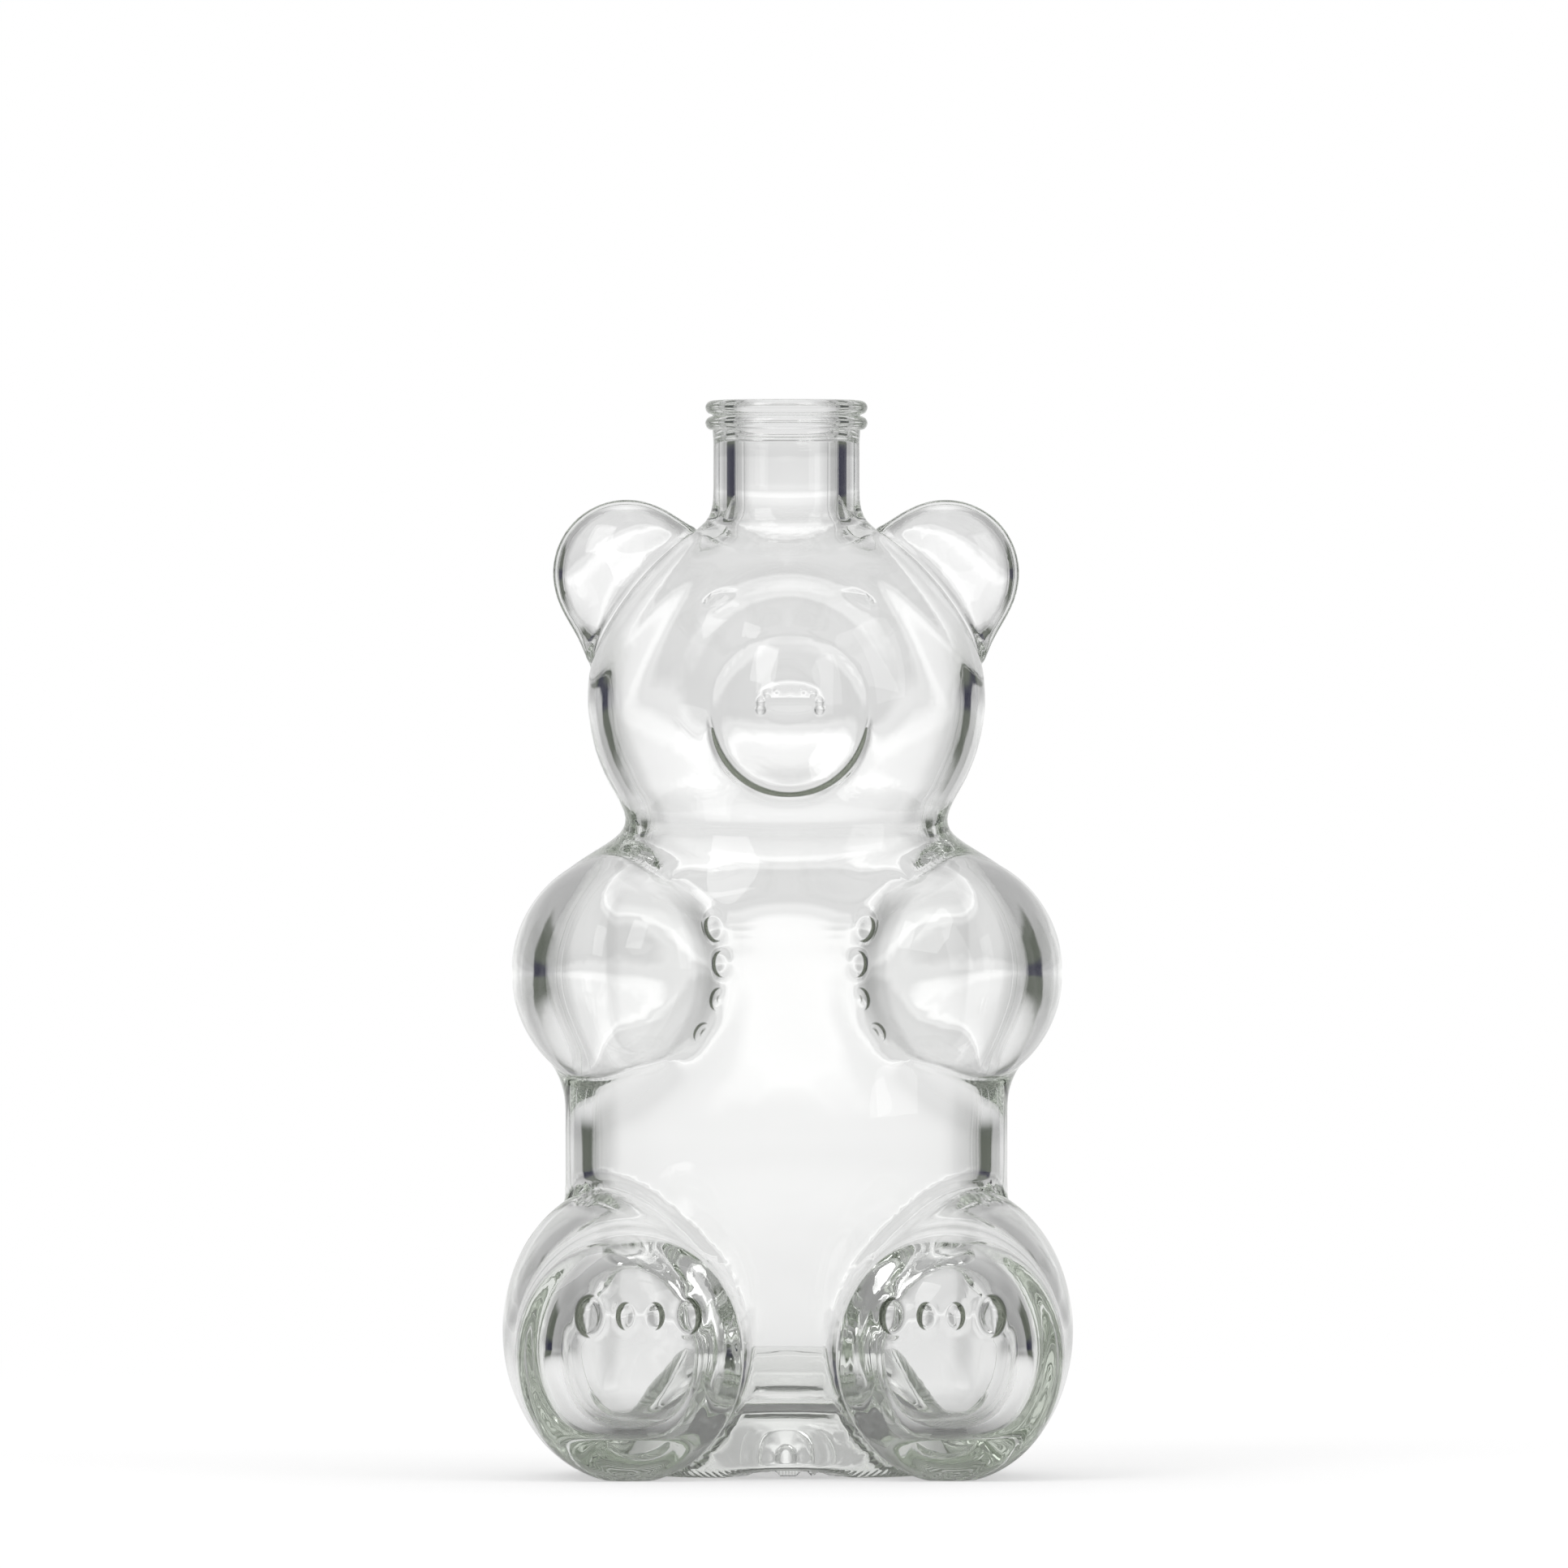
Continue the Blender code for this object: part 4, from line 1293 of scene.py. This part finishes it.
def relax(
    bm: bmesh.types.BMesh, verts: Iterable[bmesh.types.BMVert], form: Field, fineness: Fineness,
    rounds: int,
) -> None:
    """Evens out points of a skin and settles them on the form, by turns.

    Args:
        bm: The skin.
        verts: The points to move.
        form: The distance field of the form.
        fineness: How to settle them.
        rounds: How often to even them out.
    """
    for _ in range(rounds):
        settle(verts, form, fineness)
        bmesh.ops.smooth_vert(
            bm, verts=verts, factor=0.5, use_axis_x=True, use_axis_y=True, use_axis_z=True
        )
    settle(verts, form, fineness)


@dataclass(frozen=True)
class Studio:
    """The photographer's table: pale floor, white room with dark side panels, two soft lamps.

    Attributes:
        distance: From the camera to the bottle's axis.
        eye_height: Height of the camera over the floor.
        aside: Angle of the camera from the bear's front towards -X, in degrees.
        picture: Width of the picture at the bottle.
        off_centre: How far the bottle's axis stands right of the picture's middle.
        sensor: Width of the camera's sensor in millimetres.
        camera_reach: How far the camera sees.
        axis_depth: The Y of the bottle's axis.
        floor_size: Width of the floor.
        floor_drop: How far the floor lies under the bottle.
        floor_tones: Darkest and palest tone of the floor.
        floor_roughness: Its roughness.
        grain: Scale and detail of the floor's grain.
        floor_in_glass: Share of the floor's tone that the glass shows.
        table_reach: Where the floor starts to look like the room, and where it does so fully.
        shadow_fill: How much of the shadow on the floor the room's light fills.
        room_light: How bright the room lights what is dull.
        light_bounces: How often light is followed through the glass.
        lamps: Each lamp's name, place, width and height, and power in watts.
    """

    distance: float = 2.5
    eye_height: float = 0.1018
    aside: float = 1.0
    picture: float = 0.23184
    off_centre: float = 0.00036
    sensor: float = 36.0
    camera_reach: float = 100.0
    axis_depth: float = 0.00495
    floor_size: float = 60.0
    floor_drop: float = 0.00005
    floor_tones: Span = (0.951, 0.959)
    floor_roughness: float = 0.9
    grain: Span = (40.0, 3.0)
    floor_in_glass: float = 0.87
    table_reach: Span = (0.08, 0.5)
    shadow_fill: float = 0.45
    room_light: float = 0.97
    light_bounces: int = 40
    lamps: tuple[tuple[str, Size, Span, float], ...] = (
        ("soft_key", (-0.9, -1.1, 1.3), (0.8, 1.1), 6.0),
        ("soft_fill", (1.2, -0.8, 0.7), (0.7, 1.2), 3.0),
    )

    def build(self) -> None:
        """Builds the floor, the room, the lamps and the camera, and sets the colours plain."""
        self.floor()
        self.room()
        for name, at, size, power in self.lamps:
            self.lamp(name, at, size, power)
        self.camera()
        scene = bpy.context.scene
        scene.view_settings.view_transform = "Standard"
        for path in ("max_bounces", "transmission_bounces", "glossy_bounces"):
            setattr(scene.cycles, path, self.light_bounces)

    def floor(self) -> None:
        """Lays the pale floor."""
        bm = bmesh.new()
        bmesh.ops.create_grid(
            bm, x_segments=4, y_segments=4, size=self.floor_size / 2.0,
            matrix=Matrix.Translation((0.0, 0.0, -self.floor_drop)),
        )
        mesh = mesh_of(bm, "floor")
        mesh.materials.append(self.floor_finish())
        put_in_scene("floor", mesh)

    def floor_finish(self) -> bpy.types.Material:
        """Builds the floor's look, which is pale near the bottle and melts into the room.

        Returns:
            The material.
        """
        made = bpy.data.materials.new("pale_floor")
        made.use_nodes = True
        tree = made.node_tree
        path = add_node(tree, "LightPath").outputs
        bent = add_math(tree, "MAXIMUM", path["Is Glossy Ray"], path["Is Transmission Ray"])
        eyes = add_math(tree, "MAXIMUM", path["Is Camera Ray"], bent)

        place = add_node(tree, "TexCoord").outputs["Object"]
        low, high = self.floor_tones
        tones = {"Value": add_noise(tree, place, *self.grain), "To Min": low, "To Max": high}
        tone = add_node(tree, "MapRange", tones).outputs["Result"]
        shade = add_math(tree, "MULTIPLY_ADD", bent, self.floor_in_glass - 1.0, 1.0)
        near = tree.nodes["Principled BSDF"]
        fill(tree, near, {
            "Base Color": add_math(tree, "MULTIPLY", tone, shade),
            "Roughness": self.floor_roughness,
            "Specular IOR Level": 0.0,
        })

        eye = (0.0, self.axis_depth, self.eye_height)
        outward = add_vector_math(tree, "SUBTRACT", place, eye)["Vector"]
        direction = add_vector_math(tree, "NORMALIZE", outward)["Vector"]
        far = add_node(tree, "Emission", {"Color": self.seen_room(tree, direction)})
        length = add_vector_math(tree, "LENGTH", place)["Value"]
        away = add_fade(tree, length, self.table_reach, 0.0, 1.0)
        filled = add_math(tree, "MULTIPLY", path["Is Camera Ray"], self.shadow_fill)
        share = add_math(tree, "MAXIMUM", add_math(tree, "MULTIPLY", away, eyes), filled)
        mix = add_node(tree, "MixShader", {0: share, 1: near.outputs[0], 2: far.outputs[0]})
        fill(tree, tree.nodes["Material Output"], {"Surface": mix.outputs[0]})
        return made

    def seen_room(self, tree: Tree, direction: object) -> Socket:
        """Adds the nodes that give what an eye sees in a direction: white, or the room in glass.

        Args:
            tree: The node tree that takes them.
            direction: The output that gives the direction.

        Returns:
            The colour.
        """
        group = bpy.data.node_groups.get("room_tone") or room_tone_group()
        room = add_node(tree, "Group", {"Direction": direction}, node_tree=group)
        path = add_node(tree, "LightPath").outputs
        bent = add_math(tree, "MAXIMUM", path["Is Glossy Ray"], path["Is Transmission Ray"])
        white = add_node(tree, "MapRange", {"Value": path["Is Camera Ray"], "To Min": self.room_light})
        return add_mix(tree, bent, white.outputs["Result"], room.outputs["Tone"])

    def room(self) -> None:
        """Makes the room: white to the eye, with darker side panels in what the glass bends."""
        world = bpy.data.worlds.new("studio_room")
        bpy.context.scene.world = world
        world.use_nodes = True
        tree = world.node_tree
        look = add_node(tree, "TexCoord").outputs["Generated"]
        fill(tree, tree.nodes["Background"], {"Color": self.seen_room(tree, look), "Strength": 1.0})

    def lamp(self, name: str, at: Size, size: Span, power: float) -> None:
        """Hangs a soft lamp that faces the bottle.

        Args:
            name: Its name.
            at: Its place.
            size: Its width and height.
            power: Its power in watts.
        """
        light = bpy.data.lights.new(name, "AREA")
        light.shape = "RECTANGLE"
        light.size, light.size_y = size
        light.energy = power
        lamp = put_in_scene(name, light)
        lamp.location = at
        aim = Vector((0.0, 0.0, self.eye_height)) - Vector(at)
        lamp.rotation_euler = aim.to_track_quat("-Z", "Y").to_euler()

    def camera(self) -> None:
        """Stands the camera where the photograph was taken."""
        data = bpy.data.cameras.new("camera")
        data.sensor_width = self.sensor
        data.lens = self.sensor * self.distance / self.picture
        data.clip_end = self.camera_reach
        camera = put_in_scene("camera", data)
        angle = math.radians(self.aside)
        ahead = Vector((math.sin(angle), math.cos(angle), 0.0))
        right = Vector((math.cos(angle), -math.sin(angle), 0.0))
        axis = Vector((0.0, self.axis_depth, self.eye_height))
        camera.location = axis - ahead * self.distance - right * self.off_centre
        camera.rotation_euler = (math.radians(90.0), 0.0, -angle)
        bpy.context.scene.camera = camera


def main() -> None:
    """Builds the scene: the frame, the studio and the bottle."""
    logging.basicConfig(level=logging.INFO, format="%(message)s")
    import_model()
    Studio().build()
    piece = Bottle().build()
    LOG.info("%s: %d faces, %s", piece.name, len(piece.data.polygons), tuple(piece.dimensions))


if __name__ == "__main__":
    main()
